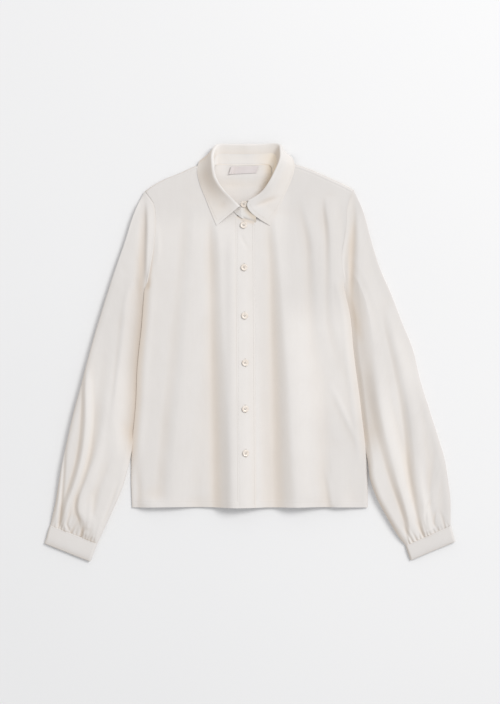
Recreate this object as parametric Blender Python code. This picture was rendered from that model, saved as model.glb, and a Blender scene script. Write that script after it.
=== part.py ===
"""A long-sleeved viscose blouse, buttoned and laid flat, as separate cut pieces.

All tables are in millimetres: x from the centre front, towards the wearer's left, y from the hem to the
collar, z up from the surface. The meshes are made in metres and centred on the blouse's own box at the end.
"Right" and "left" in the names are the wearer's.
"""

import math

import bpy
import numpy as np

MM = 0.001
WALL = 1.2          # cloth
BAND_WALL = 1.4     # cloth with interlining: button bands, cuffs, collar
SEAM = 0.5          # clear space between pieces that are sewn together

BACK_TOP = WALL     # the back lies flat on the surface
FRONT_TOP = 6.0     # height of a front between its folds
SIDE_ROLL = 7.0     # radius of the turn at a side seam
SHOULDER_ROLL = 5.0
ARMHOLE_TOP = 6.4   # height of the armhole seam
NECK_LIFT = 0.4     # how far the fronts' neckline lies above the shoulder seams
SLEEVE_EDGE = 3.0   # height of a sleeve's outermost line
SLEEVE_ROLL = 10.0

BAND_HALF = 15.3    # half the button band's width
BAND_END = 489.0    # where the bands meet the collar stand
BUTTON_RADIUS = 5.6
BUTTON_THICK = 2.2
BAND_BUTTONS = [(-4, 480), (-3, 408), (-2, 326), (-1, 246), (-1, 168), (0, 93)]   # x, y
COLLAR_BUTTON = (-2, 513, 13.0)   # x, y, z on the stand's upper end
CUFF_EDGE = 2.6     # height of a cuff's outermost line
CUFF_ROLL = 4.0
CUFF_DENT = 2.8     # how far a cuff's underside is lifted over its button

# Side seams, from hem to underarm: y, x of the wearer's right seam, x of the left seam.
SIDES = [
    (0, -194, 207), (47, -195.5, 207), (76, -195, 206), (115, -193, 202), (157, -189, 197),
    (183, -187, 194), (234, -185, 187), (276, -181, 182), (302, -178, 180), (327, -176, 177),
    (368, -173, 168),
]
# Armhole seams, from underarm to shoulder tip: x, y.
ARMHOLE_RIGHT = [
    (-173, 368), (-168, 384), (-163, 407), (-158, 434), (-154, 463), (-153, 495), (-157, 517),
    (-172, 538),
]
ARMHOLE_LEFT = [
    (168, 368), (166, 392), (163, 412), (163, 432), (167, 455), (171, 484), (172, 508), (182, 541),
]
# Shoulder seams, from shoulder tip to neck: x, y.
SHOULDER_RIGHT = [(-172, 538), (-158, 548), (-137, 559), (-112, 569), (-85, 581), (-59, 587)]
SHOULDER_LEFT = [(182, 541), (167, 549), (143, 560), (109, 575), (80, 584), (50, 585)]

# Collar, round the neck from the wearer's right front end to the left one. neck: seam with the body;
# roll: the fold between stand and fall; edge: the outer edge of the fall, under the blouse at the back.
COLLAR = [
    # neck x, y      roll x, y, z      edge x, y, z above what it lies on
    (-16, 499,      -10, 511, 17,     -50, 479, 0.5),
    (-24, 507,      -25, 524, 21,     -60, 503, 0.5),
    (-38, 524,      -42, 541, 25,     -69, 526, 0.5),
    (-50, 546,      -54, 561, 28,     -78, 549, 0.5),
    (-55, 567,      -57, 582, 30,     -84, 574, 0.5),
    (-53, 581,      -57, 603, 21,     -79, 593, -1.6),
    (-42, 583,      -49, 617, 10,     -58, 594, -9),
    (-22, 582,      -26, 618, 8,      -28, 580, -9),
    (0, 582,         0, 618, 8,        0, 578, -9),
    (20, 582,        27, 618, 8,       28, 580, -9),
    (37, 583,        56, 618, 10,      60, 596, -9),
    (44, 577,        61, 607, 20,      76, 598, -1.6),
    (44, 562,        60, 590, 26,      83, 580, 0.5),
    (39, 548,        51, 569, 26,      77, 556, 0.5),
    (32, 534,        40, 549, 24,      66, 531, 0.5),
    (23, 519,        27, 534, 20,      56, 509, 0.5),
    (15, 507,         3, 521, 18,      41, 479, 0.5),
]
STAND_SHARE_BACK = 0.52   # how much of the height from neck to roll is stand
STAND_SHARE_FRONT = 0.48
ROLL_RADIUS = 3.4   # of the collar's roll
COLLAR_SECTIONS = 29

# Sleeves, from armhole to cuff seam: outer line x, y, inner line x, y, height.
SLEEVE_RIGHT = [
    (-173, 537, -173.8, 367, 6.4), (-190, 499, -175.6, 350, 8), (-206, 449, -178.3, 322, 9.5),
    (-222, 404, -182, 290, 11), (-238, 355, -185.5, 252, 12), (-252, 310, -188, 212, 13),
    (-266, 261, -190, 167, 14), (-280, 208, -194.5, 126, 15), (-293, 160, -197.5, 84, 15),
    (-304, 112, -206, 46, 15), (-312, 75, -216, 18, 15), (-319, 38, -228, -8, 14),
    (-325, 3, -241, -36, 13), (-329, -14, -247, -49, 10.5), (-332.6, -29.5, -252.3, -60.5, 7),
]
SLEEVE_LEFT = [
    (183, 540, 169.5, 367, 6.4), (199, 503, 175.5, 350, 8), (212, 456, 180.5, 324, 9.5),
    (227, 408, 183, 292, 11), (246, 364, 187, 252, 12), (264, 317, 193, 212, 13),
    (283, 270, 198, 168, 14), (296, 216, 203, 126, 15), (311, 168, 207.5, 84, 15),
    (326, 121, 211, 48, 15), (337, 84, 221, 19, 15), (344, 43, 236, -10, 14),
    (348, 10, 252, -38, 13), (348, -10, 262, -53, 10.5), (348.3, -30.5, 271.3, -63.9, 7),
]
# Cuffs, from the sleeve seam to the lower edge: outer line x, y, inner line x, y, height.
CUFF_RIGHT = [
    (-333, -30, -252.5, -61, 6.5), (-336, -38, -256, -69, 7), (-340, -53, -262, -85, 7),
    (-343, -61, -265, -92, 5.5),
]
CUFF_LEFT = [
    (348.5, -31, 271.5, -64.5, 6.5), (350.5, -38, 273.5, -71, 7), (354, -51, 278, -84, 7),
    (356, -58, 280, -90, 5.5),
]

# Folds. Over "rise" mm, centred on x, the cloth climbs by "height" towards +x, and it sinks back over
# "fall" mm. Each fold is its fall and then its rows from the top down: y, x, height, rise.
BODY_FOLDS = [
    (62, [(500, -58, 0, 14), (475, -56, 3.5, 18), (353, -51, 6.5, 24), (268, -48, 9, 28),
         (115, -42.5, 12, 34), (0, -39, 14, 38)]),
    (60, [(500, 42, 0, 14), (468, 44, 3, 18), (421, 48, 5, 20), (319, 53, 8.5, 26), (217, 58, 11, 32),
         (81, 63, 13, 38), (0, 67, 14, 42)]),
    (48, [(520, -98, 0, 24), (497, -99, 1.2, 24), (387, -107, 2.4, 26), (251, -119, 3, 28),
         (64, -138, 4.5, 28), (0, -142, 5, 30)]),
    (30, [(530, 92, 0, 14), (502, 97, 1.2, 14), (455, 107, 3, 14), (417, 110, 3, 16),
         (353, 113, 2.6, 18), (217, 122, 0, 20)]),
    (24, [(530, 133, 0, 9), (506, 134, 2.2, 9), (472, 138, 3, 10), (417, 140, 2.8, 12),
         (319, 143, 2, 16), (220, 165, 0, 18)]),
    (36, [(110, 134, 0, 16), (64, 138, 1.5, 18), (0, 147, 3, 20)]),
]
SLEEVE_RIGHT_FOLDS = [
    (14, [(525, -171, 0, 6), (505, -170, 2, 6), (440, -170, 3, 7), (400, -171, 3, 7), (370, -173, 0, 7)]),
    (14, [(240, -275, 0, 9), (205, -275, 4, 9), (132, -277, 6, 11), (81, -284, 6.5, 11),
         (38, -296, 6.5, 11), (4, -308, 5.5, 10), (-30, -313, 3, 8)]),
    (26, [(310, -229, 0, 20), (200, -243, 3, 22), (132, -252, 4.5, 20), (87, -261, 5.5, 16),
         (47, -275, 6, 13), (18, -285, 6, 10), (-5, -286, 5, 8), (-20, -281, 4.5, 7), (-38, -278, 3, 7)]),
    (28, [(420, -195, 0, 16), (330, -207, 2, 18), (240, -214, 3, 20), (150, -224, 3.5, 20),
         (60, -242, 2.5, 18), (-20, -262, 1.5, 10)]),
]
SLEEVE_LEFT_FOLDS = [
    (30, [(525, 184, 0, 8), (490, 187, 1.5, 9), (378, 188, 2, 10), (300, 196, 1, 12),
         (240, 205, 0, 14)]),
    (24, [(260, 208, 0, 16), (208, 212, 3, 16), (98, 236, 5, 17), (47, 250, 6, 15),
         (4, 264, 6.5, 12), (-30, 273, 4.5, 9), (-52, 275, 2, 7)]),
    (24, [(350, 236, 0, 16), (315, 240, 3, 16), (234, 257, 5, 16), (183, 267, 5.5, 16),
         (100, 277, 6.5, 15), (50, 281, 6.5, 14), (4, 289, 6, 11), (-30, 297, 4, 8), (-48, 302, 2, 7)]),
    (24, [(280, 258, 0, 18), (200, 275, 2.5, 18), (132, 284, 3.5, 18), (47, 292, 4, 14),
         (-13, 301, 4, 11), (-38, 306, 3, 8)]),
    (16, [(115, 322, 0, 12), (70, 318, 2, 10), (21, 313, 3, 9), (-29, 321, 2.5, 8)]),
]

# Where the cloth of a front is cut into columns, from side seam to band, and rows, from hem to neck.
FRONT_COLUMNS = [
    0, 0.004, 0.014, 0.034, 0.09, 0.17, 0.25, 0.33, 0.41, 0.49, 0.57, 0.65, 0.71, 0.77, 0.83, 0.89,
    0.945, 1,
]
FRONT_ROWS = [
    0, 0.02, 0.07, 0.13, 0.2, 0.27, 0.34, 0.41, 0.48, 0.55, 0.62, 0.69, 0.76, 0.82, 0.87, 0.92, 0.96,
    0.985, 0.997, 1,
]
SLEEVE_TOP = [
    0, 0.012, 0.04, 0.085, 0.145, 0.21, 0.275, 0.34, 0.405, 0.47, 0.535, 0.6, 0.665, 0.73, 0.795, 0.86,
    0.915, 0.96, 0.988, 1,
]
SLEEVE_UNDER = [0.97, 0.86, 0.64, 0.42, 0.2, 0.03]
CUFF_TOP = [0, 0.02, 0.07, 0.2, 0.4, 0.6, 0.8, 0.93, 0.98, 1]
CUFF_UNDER = [0.95, 0.66, 0.58, 0.42, 0.34, 0.05]

CLOTH = (0.86, 0.83, 0.79, 1)
BAND = (0.88, 0.85, 0.81, 1)
BUTTON = (0.84, 0.73, 0.60, 1)
LABEL = (0.83, 0.80, 0.80, 1)


def clear_scene():
    for obj in list(bpy.data.objects):
        bpy.data.objects.remove(obj, do_unlink=True)


def along(points, fractions):
    """Points at these fractions of the length of a smooth curve through the given ones."""
    points = np.array(points, float)
    steps = np.linalg.norm(np.diff(points[:, :2], axis=0), axis=1)
    knots = np.concatenate([[0], np.cumsum(steps)]) / steps.sum()
    slopes = np.gradient(points, knots, axis=0)
    fractions = np.clip(np.array(fractions, float), 0, 1)
    index = np.clip(np.searchsorted(knots, fractions, side="right") - 1, 0, len(knots) - 2)
    span = (knots[index + 1] - knots[index])[:, None]
    t = (fractions - knots[index])[:, None] / span
    return (
        (2 * t**3 - 3 * t**2 + 1) * points[index] + (t**3 - 2 * t**2 + t) * span * slopes[index]
        + (3 * t**2 - 2 * t**3) * points[index + 1] + (t**3 - t**2) * span * slopes[index + 1]
    )


def joined(first, second, fractions, share):
    """Two smooth curves end to end, the first taking this share of the fractions."""
    fractions = np.array(fractions, float)
    start = fractions <= share
    return np.concatenate([
        along(first, fractions[start] / share), along(second, (fractions[~start] - share) / (1 - share)),
    ])


def ease(value):
    value = np.clip(value, 0, 1)
    return value * value * (3 - 2 * value)


def roll(distance, radius):
    """0 to 1: how far a cloth edge has turned up, a quarter circle in from the edge."""
    inside = np.clip(distance / radius, 0, 1)
    return np.sqrt(np.clip(1 - (1 - inside) ** 2, 0, 1))


def folded(folds, x, y):
    """Height that the folds add at x, y."""
    height = np.zeros(np.shape(x))
    for fall, rows in folds:
        rows = np.array(sorted(rows), float)
        centre, top, rise = (np.interp(y, rows[:, 0], rows[:, column]) for column in (1, 2, 3))
        from_foot = x - centre + rise / 2
        height = height + top * ease(from_foot / rise) * (1 - ease((from_foot - rise) / fall))
    return height


def patch(bottom, top, start, end, across, up):
    """Grid of points between four edges. bottom and top run across; start and end run up."""
    u = np.array(across, float)[None, :, None]
    v = np.array(up, float)[:, None, None]
    bottom, top, start, end = bottom[None], top[None], start[:, None], end[:, None]
    corners = (
        (1 - u) * (1 - v) * bottom[:, :1] + u * (1 - v) * bottom[:, -1:]
        + (1 - u) * v * top[:, :1] + u * v * top[:, -1:]
    )
    return (1 - v) * bottom + v * top + (1 - u) * start + u * end - corners


def material(name, color, roughness):
    made = bpy.data.materials.new(name)
    made.use_nodes = True
    shader = made.node_tree.nodes["Principled BSDF"]
    shader.inputs["Base Color"].default_value = color
    shader.inputs["Roughness"].default_value = roughness
    return made


def new_object(name, points, faces, color, roughness):
    mesh = bpy.data.meshes.new(name)
    mesh.from_pydata([tuple(float(c) * MM for c in point) for point in points], [], faces)
    mesh.update()
    mesh.shade_smooth()
    obj = bpy.data.objects.new(name, mesh)
    obj.data.materials.append(material(name, color, roughness))
    bpy.context.collection.objects.link(obj)
    return obj


def cloth(name, grid, wall, color=CLOTH, ring=False, flip=False):
    """A wall of cloth under a grid of surface points; with ring=True each row closes on itself."""
    rows, columns = grid.shape[:2]
    faces = []
    for i in range(rows - 1):
        for j in range(columns if ring else columns - 1):
            k = (j + 1) % columns
            face = (i * columns + j, i * columns + k, (i + 1) * columns + k, (i + 1) * columns + j)
            faces.append(face[::-1] if flip else face)
    obj = new_object(name, grid.reshape(-1, 3), faces, color, 0.75)
    solidify = obj.modifiers.new("wall", "SOLIDIFY")
    solidify.thickness = wall * MM
    solidify.offset = -1
    solidify.use_even_offset = False
    return obj


def side_edge(armhole, column, fractions):
    """Side seam and armhole seam, from hem to shoulder tip."""
    seam = [(row[column], row[0]) for row in SIDES]
    seam_share = 0.66
    return joined(seam, armhole, fractions, seam_share)


def front_height(x, y):
    """Height of the fronts' upper face, away from their edges."""
    return FRONT_TOP + folded(BODY_FOLDS, x, y)


def band_centre(y):
    """The button band leans a little: x of its centre line."""
    return np.interp(y, [0, 490], [1.6, -1.8])


def make_front(name, side, armhole, column, shoulder):
    """side is -1 for the wearer's right front and 1 for the left one."""
    across = np.array(FRONT_COLUMNS)
    up = np.array(FRONT_ROWS)
    neck = [(row[0] - side * 1.5, row[1]) for row in COLLAR if row[0] * side > 20 and row[1] < 582]
    neck = sorted(neck, key=lambda point: point[1])
    band_side = side * (BAND_HALF + SEAM)
    middle = [(band_side + band_centre(y), y) for y in (0, 165, 330, 498)]
    inner = joined(middle, [middle[-1]] + neck + [shoulder[-1]], up, 0.82)
    top = along(shoulder, across)
    outer = side_edge(armhole, column, up)
    hem = along([outer[0], (side * 110, 1), inner[0]], across)
    grid = patch(hem, top, outer, inner, across, up)
    x, y = grid[..., 0], grid[..., 1]
    to_side = np.linalg.norm(grid - outer[:, None], axis=2)
    to_top = np.linalg.norm(grid - top[None], axis=2)
    rest = back_height(x, y) + WALL + SEAM
    at_armhole = ease((y - 372) / 24) * (1 - ease((y - 508) / 28))
    side_low = rest + (ARMHOLE_TOP - rest) * at_armhole
    z = side_low + (front_height(x, y) - side_low) * roll(to_side, SIDE_ROLL)
    # The shoulder turns down to the back; the neckline stays up, under the collar stand.
    neck_share = ease((across - 0.78) / 0.16)[None]
    near_top = np.maximum(roll(to_top, SHOULDER_ROLL), neck_share)
    top_low = rest + NECK_LIFT * neck_share
    z = np.minimum(z, top_low + (z - top_low) * near_top)
    grid = np.dstack([grid, z])
    return cloth(name, grid, WALL, flip=side > 0)


def back_height(x, y):
    """Upper face of the back: flat, and lifted at the neck by the collar's fall under it."""
    return BACK_TOP + 2.6 * ease((y - 545) / 24) * (1 - ease((np.abs(x) - 66) / 14))


def make_back():
    across = np.array([
        0, 0.02, 0.1, 0.2, 0.29, 0.35, 0.41, 0.47, 0.53, 0.59, 0.65, 0.71, 0.8, 0.9, 0.98, 1,
    ])
    up = np.array([0, 0.12, 0.25, 0.38, 0.5, 0.6, 0.66, 0.7, 0.74, 0.78, 0.82, 0.86, 0.9, 0.94, 0.97, 1])
    start = side_edge(ARMHOLE_RIGHT, 1, up)
    end = side_edge(ARMHOLE_LEFT, 2, up)
    neck = [SHOULDER_RIGHT[-1], (-45, 584), (0, 583.5), (40, 584), SHOULDER_LEFT[-1]]
    top = np.concatenate([
        along(SHOULDER_RIGHT, across[across < 0.35] / 0.35),
        along(neck, (across[(across >= 0.35) & (across <= 0.65)] - 0.35) / 0.3),
        along(SHOULDER_LEFT[::-1], (across[across > 0.65] - 0.65) / 0.35),
    ])
    hem = along([start[0], (0, 0), end[0]], across)
    grid = patch(hem, top, start, end, across, up)
    z = back_height(grid[..., 0], grid[..., 1])
    return cloth("back", np.dstack([grid, z]), WALL)


def band_height(x, y):
    return front_height(x, y) + 1.0


def make_band(name, drop, end_y, wall):
    """A button band from hem to neck; drop is how far it lies under the top one."""
    ys = np.array([*range(0, 450, 25), 450, 470, end_y])
    offsets = np.array([-BAND_HALF, -BAND_HALF / 2, 0, BAND_HALF / 2, BAND_HALF])
    y = np.repeat(ys[:, None], len(offsets), axis=1)
    x = band_centre(y) + offsets[None]
    return cloth(name, np.dstack([x, y, band_height(x, y) - drop]), wall, BAND)


def distance_to(line, x, y):
    """Distance from each point to a line through the given points."""
    line = np.array(line, float)
    point = np.column_stack([x, y])[:, None]
    start, step = line[:-1][None], np.diff(line, axis=0)[None]
    share = np.clip(((point - start) * step).sum(axis=2) / (step**2).sum(axis=2), 0, 1)
    return np.linalg.norm(point - start - share[..., None] * step, axis=2).min(axis=1)


def ring_line(outer, inner, side, t, turn):
    """A section's line from the outer to the inner edge; turn bends it to meet the inner edge squarely."""
    width = np.linalg.norm(inner - outer)
    first = outer + (inner - outer) / 3
    straight = inner + (outer - inner) / 3
    square = inner + width * 0.26 * np.array([side, 1]) * math.sqrt(0.5)
    second = straight + (square - straight) * turn
    t = t[:, None]
    return (1 - t) ** 3 * outer + 3 * t * (1 - t) ** 2 * first + 3 * t**2 * (1 - t) * second + t**3 * inner


def make_tube(name, sections, over, under, edge, radius, wall, folds, side, armhole, lift, color):
    """A flattened tube: one closed ring of points for each section, flat below and folded above."""
    t = np.array(over + under)
    is_over = np.arange(len(t)) < len(over)
    outer_line = [section[0:2] for section in sections]
    inner_line = [section[2:4] for section in sections]
    rings = []
    for number, (ox, oy, ix, iy, height) in enumerate(sections):
        outer, inner = np.array([ox, oy], float), np.array([ix, iy], float)
        turn = (0, 1, 0.8, 0.4)[number] if armhole and number < 4 else 0
        flat = ring_line(outer, inner, side, t, turn)
        if armhole and number < 4:
            # Near the body the sections follow the armhole seam.
            start, end = np.array(armhole[-1], float), np.array(armhole[0], float)
            bow = along(armhole[::-1], t) - (start + (end - start) * t[:, None])
            flat = flat + (1, 0.62, 0.3, 0.1)[number] * bow + (number == 0) * np.array([side * 0.6, 0])
        x, y = flat[:, 0], flat[:, 1]
        to_edge = np.minimum(distance_to(outer_line, x, y), distance_to(inner_line, x, y))
        crown = height + folded(folds, x, y)
        top = edge + (crown - edge) * roll(to_edge, radius)
        # Below, the cloth may be dented over a button that it lies on.
        inside = 0 < number < len(sections) - 1
        dent = lift * inside * np.clip((0.16 - np.abs(t - 0.5)) / 0.08, 0, 1)
        bottom = edge * (1 - roll(to_edge, edge)) + dent
        rings.append(np.column_stack([x, y, np.where(is_over, top, bottom)]))
    return cloth(name, np.array(rings), wall, color, ring=True, flip=side < 0)


def make_sleeve(name, sections, folds, side, armhole):
    over, under = SLEEVE_TOP, SLEEVE_UNDER
    return make_tube(
        name, sections, over, under, SLEEVE_EDGE, SLEEVE_ROLL, WALL, folds, side, armhole, 0, CLOTH
    )


def make_cuff(name, sections, side):
    over, under = CUFF_TOP, CUFF_UNDER
    return make_tube(
        name, sections, over, under, CUFF_EDGE, CUFF_ROLL, BAND_WALL, [], side, None, CUFF_DENT, BAND
    )


def collar_frames(fractions):
    """Neck, roll and edge points at these fractions of the way round the collar."""
    rows = np.array(COLLAR, float)
    keys = np.linspace(0, 1, len(rows))
    slopes = np.gradient(rows, keys, axis=0)
    index = np.clip(np.searchsorted(keys, fractions, side="right") - 1, 0, len(keys) - 2)
    span = keys[1]
    t = (np.array(fractions) - keys[index])[:, None] / span
    made = (
        (2 * t**3 - 3 * t**2 + 1) * rows[index] + (t**3 - 2 * t**2 + t) * span * slopes[index]
        + (3 * t**2 - 2 * t**3) * rows[index + 1] + (t**3 - t**2) * span * slopes[index + 1]
    )
    return made[:, 0:2], made[:, 2:5], made[:, 5:7], made[:, 7]


def body_top(x, y):
    """Upper face of what the collar stands on."""
    front = front_height(x, y) + np.where(np.abs(x) < BAND_HALF + 2, 1.0, 0.0)
    on_back = (y > 576) & (x > -50) & (x < 41)
    return np.where(on_back, back_height(x, y), front)


def unit(vectors):
    return vectors / np.linalg.norm(vectors, axis=1)[:, None]


def collar_sections():
    """Round the collar: foot of the stand, top of the stand, points over the roll, and the fall's edge."""
    way = np.linspace(0, 1, COLLAR_SECTIONS)
    neck, roll_line, edge, above = collar_frames(way)
    foot = np.column_stack([neck, body_top(neck[:, 0], neck[:, 1]) + BAND_WALL + SEAM])
    under = above < -5
    edge_z = np.where(under, 0, body_top(edge[:, 0], edge[:, 1]) + BAND_WALL + above)
    rim = np.column_stack([edge, np.maximum(edge_z, 0)])
    rise = unit(roll_line - foot)
    out = unit(rim - roll_line)
    across = unit(out - (out * rise).sum(axis=1)[:, None] * rise)
    peak = roll_line - ROLL_RADIUS * across
    centre = peak - ROLL_RADIUS * rise + ROLL_RADIUS * across
    over = [
        centre + ROLL_RADIUS * (math.sin(angle) * rise - math.cos(angle) * across)
        for angle in np.radians([0, 45, 90, 135])
    ]
    share = STAND_SHARE_BACK + (STAND_SHARE_FRONT - STAND_SHARE_BACK) * (2 * way - 1) ** 4
    stand_top = foot + (peak - foot) * share[:, None]
    return foot, stand_top, over, rim


def make_stand():
    foot, top, _, _ = collar_sections()
    grid = np.stack([foot, (foot + top) / 2, top], axis=1)
    # The ends lap over the centre front: the wearer's right one above the left one.
    right_end = [
        [(9, 488, 8.0), (9, 500, 9.3), (4, 513, 10.8)],
        [(1, 490, 8.0), (0, 503, 9.6), (-1, 517, 11.2)],
        [(-5, 492, 8.1), (-5, 502, 9.4), (-4, 512, 10.6)],
    ]
    left_end = [
        [(6, 504, 6.4), (4, 510, 7.4), (1, 516, 8.8)],
        [(-6, 505, 5.8), (-7, 510, 6.6), (-8, 515, 7.6)],
    ]
    grid = np.concatenate([np.array(right_end), grid, np.array(left_end)])
    return cloth("collar_stand", grid, BAND_WALL, BAND, flip=True)


def make_leaf():
    foot, stand_top, over, rim = collar_sections()
    seam = stand_top + unit(over[0] - foot) * SEAM
    columns = [seam] + over
    columns += [over[-1] + (rim - over[-1]) * share for share in (0.25, 0.5, 0.78, 1.0)]
    return cloth("collar_leaf", np.stack(columns, axis=1), BAND_WALL, BAND, flip=True)


def turned(name, centre, profile, color, slope=(0, 0), segments=24):
    """A turned piece: profile is (radius, z) from the top's middle out and down to the bottom's middle."""
    points, faces = [], []
    for radius, height in profile[1:-1]:
        for step in range(segments):
            angle = 2 * math.pi * step / segments
            x, y = radius * math.cos(angle), radius * math.sin(angle)
            z = centre[2] + height + slope[0] * x + slope[1] * y
            points.append((centre[0] + x, centre[1] + y, z))
    top, bottom = len(points), len(points) + 1
    points += [(*centre[:2], centre[2] + profile[0][1]), (*centre[:2], centre[2] + profile[-1][1])]
    rings = len(profile) - 2
    for step in range(segments):
        after = (step + 1) % segments
        faces.append((top, step, after))
        for ring in range(rings - 1):
            here, below = ring * segments, (ring + 1) * segments
            faces.append((here + step, below + step, below + after, here + after))
        last = (rings - 1) * segments
        faces.append((bottom, last + after, last + step))
    return new_object(name, points, faces, color, 0.35)


def make_button(name, x, y, z, slope=(0, 0), face_down=False):
    """z is the button's lowest plane; slope is how the cloth under it rises along x and y."""
    r, h = BUTTON_RADIUS, BUTTON_THICK
    profile = [
        (0, h * 0.62), (r * 0.55, h * 0.62), (r * 0.72, h), (r * 0.9, h), (r, h * 0.6), (r * 0.86, 0), (0, 0),
    ]
    if face_down:
        profile = [(radius, h - height) for radius, height in profile[::-1]]
    return turned(name, (x, y, z), profile, BUTTON, slope)


def make_buttons():
    for number, (x, y) in enumerate(BAND_BUTTONS, start=1):
        slope = [
            (band_height(x + dx, y + dy) - band_height(x - dx, y - dy)) / (2 * BUTTON_RADIUS)
            for dx, dy in ((BUTTON_RADIUS, 0), (0, BUTTON_RADIUS))
        ]
        make_button(f"button_{number}", x, y, band_height(x, y) + SEAM, slope)
    make_button("button_collar", *COLLAR_BUTTON, slope=(0.0, 0.13))
    make_button("button_cuff_right", -298, -61, 0, face_down=True)
    make_button("button_cuff_left", 314, -61, 0, face_down=True)


def make_label():
    across, up = np.meshgrid(np.linspace(0, 1, 7), np.linspace(0, 1, 3))
    grid_x = -29 + 46.5 * across + 4 * up
    grid_y = 566.5 + 2.5 * across + up * (13 - 2 * across)
    lifted = 1.8 * ease(1 - across / 0.2)
    grid_z = back_height(grid_x, grid_y) + 1.0 + SEAM + lifted
    return cloth("label", np.dstack([grid_x, grid_y, grid_z]), 1.0, LABEL)


def centre_on_box():
    """Moves everything so that the origin is at the middle of the box, at the surface."""
    bpy.context.view_layer.update()
    graph = bpy.context.evaluated_depsgraph_get()
    corners = []
    for obj in bpy.data.objects:
        corners += [tuple(corner) for corner in obj.evaluated_get(graph).bound_box]
    corners = np.array(corners)
    low, high = corners.min(axis=0), corners.max(axis=0)
    shift = np.array([-(low[0] + high[0]) / 2, -(low[1] + high[1]) / 2, -low[2]])
    for obj in bpy.data.objects:
        for vertex in obj.data.vertices:
            vertex.co = [vertex.co[axis] + shift[axis] for axis in range(3)]


clear_scene()
make_back()
make_front("front_right", -1, ARMHOLE_RIGHT, 1, SHOULDER_RIGHT)
make_front("front_left", 1, ARMHOLE_LEFT, 2, SHOULDER_LEFT)
make_band("band_under", BAND_WALL + 2 * SEAM, 500, WALL)
make_band("band_over", 0, BAND_END, BAND_WALL)
make_sleeve("sleeve_right", SLEEVE_RIGHT, SLEEVE_RIGHT_FOLDS, -1, ARMHOLE_RIGHT)
make_sleeve("sleeve_left", SLEEVE_LEFT, SLEEVE_LEFT_FOLDS, 1, ARMHOLE_LEFT)
make_cuff("cuff_right", CUFF_RIGHT, -1)
make_cuff("cuff_left", CUFF_LEFT, 1)
make_stand()
make_leaf()
make_label()
make_buttons()
centre_on_box()
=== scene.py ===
"""A long-sleeved viscose blouse, buttoned and laid flat: its cloth, seams, stitches and buttons.

Tables are in millimetres: x from the centre front towards the wearer's left, y from the hem to the collar,
z up from the surface. "Right" and "left" in the names are the wearer's.
"""

import math

import bpy
import numpy as np
from mathutils import Matrix, Vector
from mathutils.bvhtree import BVHTree


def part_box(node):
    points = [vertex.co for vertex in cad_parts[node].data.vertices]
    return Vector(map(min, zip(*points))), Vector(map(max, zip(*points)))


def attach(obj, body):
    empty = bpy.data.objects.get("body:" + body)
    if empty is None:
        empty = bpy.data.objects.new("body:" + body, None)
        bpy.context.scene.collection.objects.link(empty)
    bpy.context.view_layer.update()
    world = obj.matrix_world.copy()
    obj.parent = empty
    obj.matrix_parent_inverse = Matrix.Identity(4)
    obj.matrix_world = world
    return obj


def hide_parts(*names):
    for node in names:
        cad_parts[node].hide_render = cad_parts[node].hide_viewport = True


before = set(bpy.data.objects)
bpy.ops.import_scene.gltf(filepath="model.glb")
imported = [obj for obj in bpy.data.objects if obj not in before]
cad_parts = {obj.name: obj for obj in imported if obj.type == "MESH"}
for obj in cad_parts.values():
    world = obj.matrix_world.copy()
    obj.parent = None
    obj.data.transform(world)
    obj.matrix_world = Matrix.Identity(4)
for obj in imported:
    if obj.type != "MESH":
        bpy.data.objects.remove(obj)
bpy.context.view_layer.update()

MM = 0.001


# ---------------------------------------------------------------- Surface, light and camera
# A pale matt table under a bright, even room, with one large soft lamp on the upper right, which gives each
# fold its shaded left side and the blouse a soft, narrow shadow.

LAMP_PLACE = (2.98, 2.43, 4.12)


def feed(node, inputs):
    """Gives each of a node's inputs its value, or a link from another node's output."""
    for key, value in inputs.items():
        if isinstance(value, bpy.types.NodeSocket):
            node.id_data.links.new(value, node.inputs[key])
        else:
            node.inputs[key].default_value = value
    return node


def add_node(tree, kind, inputs, **settings):
    made = tree.nodes.new("ShaderNode" + kind)
    for key, value in settings.items():
        setattr(made, key, value)
    return feed(made, inputs)


def ramp(tree, amount, low, high, ends=(0, 1)):
    """A colour between low and high, by the amount."""
    made = add_node(tree, "ValToRGB", {"Fac": amount})
    for element, position, color in zip(made.color_ramp.elements, ends, (low, high)):
        element.position = position
        element.color = (*color, 1)
    return made.outputs["Color"]


def new_material(name, surface):
    """A material with these surface settings, its node tree, its shader and the place on the object."""
    made = bpy.data.materials.new(name)
    made.use_nodes = True
    tree = made.node_tree
    place = add_node(tree, "TexCoord", {}).outputs["Object"]
    return made, tree, feed(tree.nodes["Principled BSDF"], surface), place


bpy.ops.object.camera_add(location=(0.00034, 0.00095, 2.831), rotation=(0, 0, 0))
camera = bpy.context.object
camera.name = "camera"
camera.data.lens = 85
bpy.context.scene.camera = camera
bpy.context.scene.view_settings.view_transform = "Standard"

room = bpy.data.worlds.new("room")
room.use_nodes = True
feed(room.node_tree.nodes["Background"], {"Color": (0.985, 0.99, 1, 1), "Strength": 0.67})
bpy.context.scene.world = room

facing = (-Vector(LAMP_PLACE)).to_track_quat("-Z", "Y").to_euler()
bpy.ops.object.light_add(type="AREA", location=LAMP_PLACE, rotation=facing)
lamp = bpy.context.object
lamp.name = "window"
lamp.data.size = 2.2
lamp.data.energy = 186
lamp.data.color = (1, 0.99, 0.975)

bpy.ops.mesh.primitive_plane_add(size=9, location=(0, 0, -0.0003))
table = bpy.context.object
table.name = "table"

matt, tree, shader, place = new_material("matt_table", {"Roughness": 0.9, "Specular IOR Level": 0.2})
clouds = add_node(tree, "TexNoise", {"Vector": place, "Scale": 1.3, "Detail": 2}).outputs["Fac"]
feed(shader, {"Base Color": ramp(tree, clouds, (0.805, 0.805, 0.81), (0.835, 0.835, 0.84))})
table.data.materials.append(matt)


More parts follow.
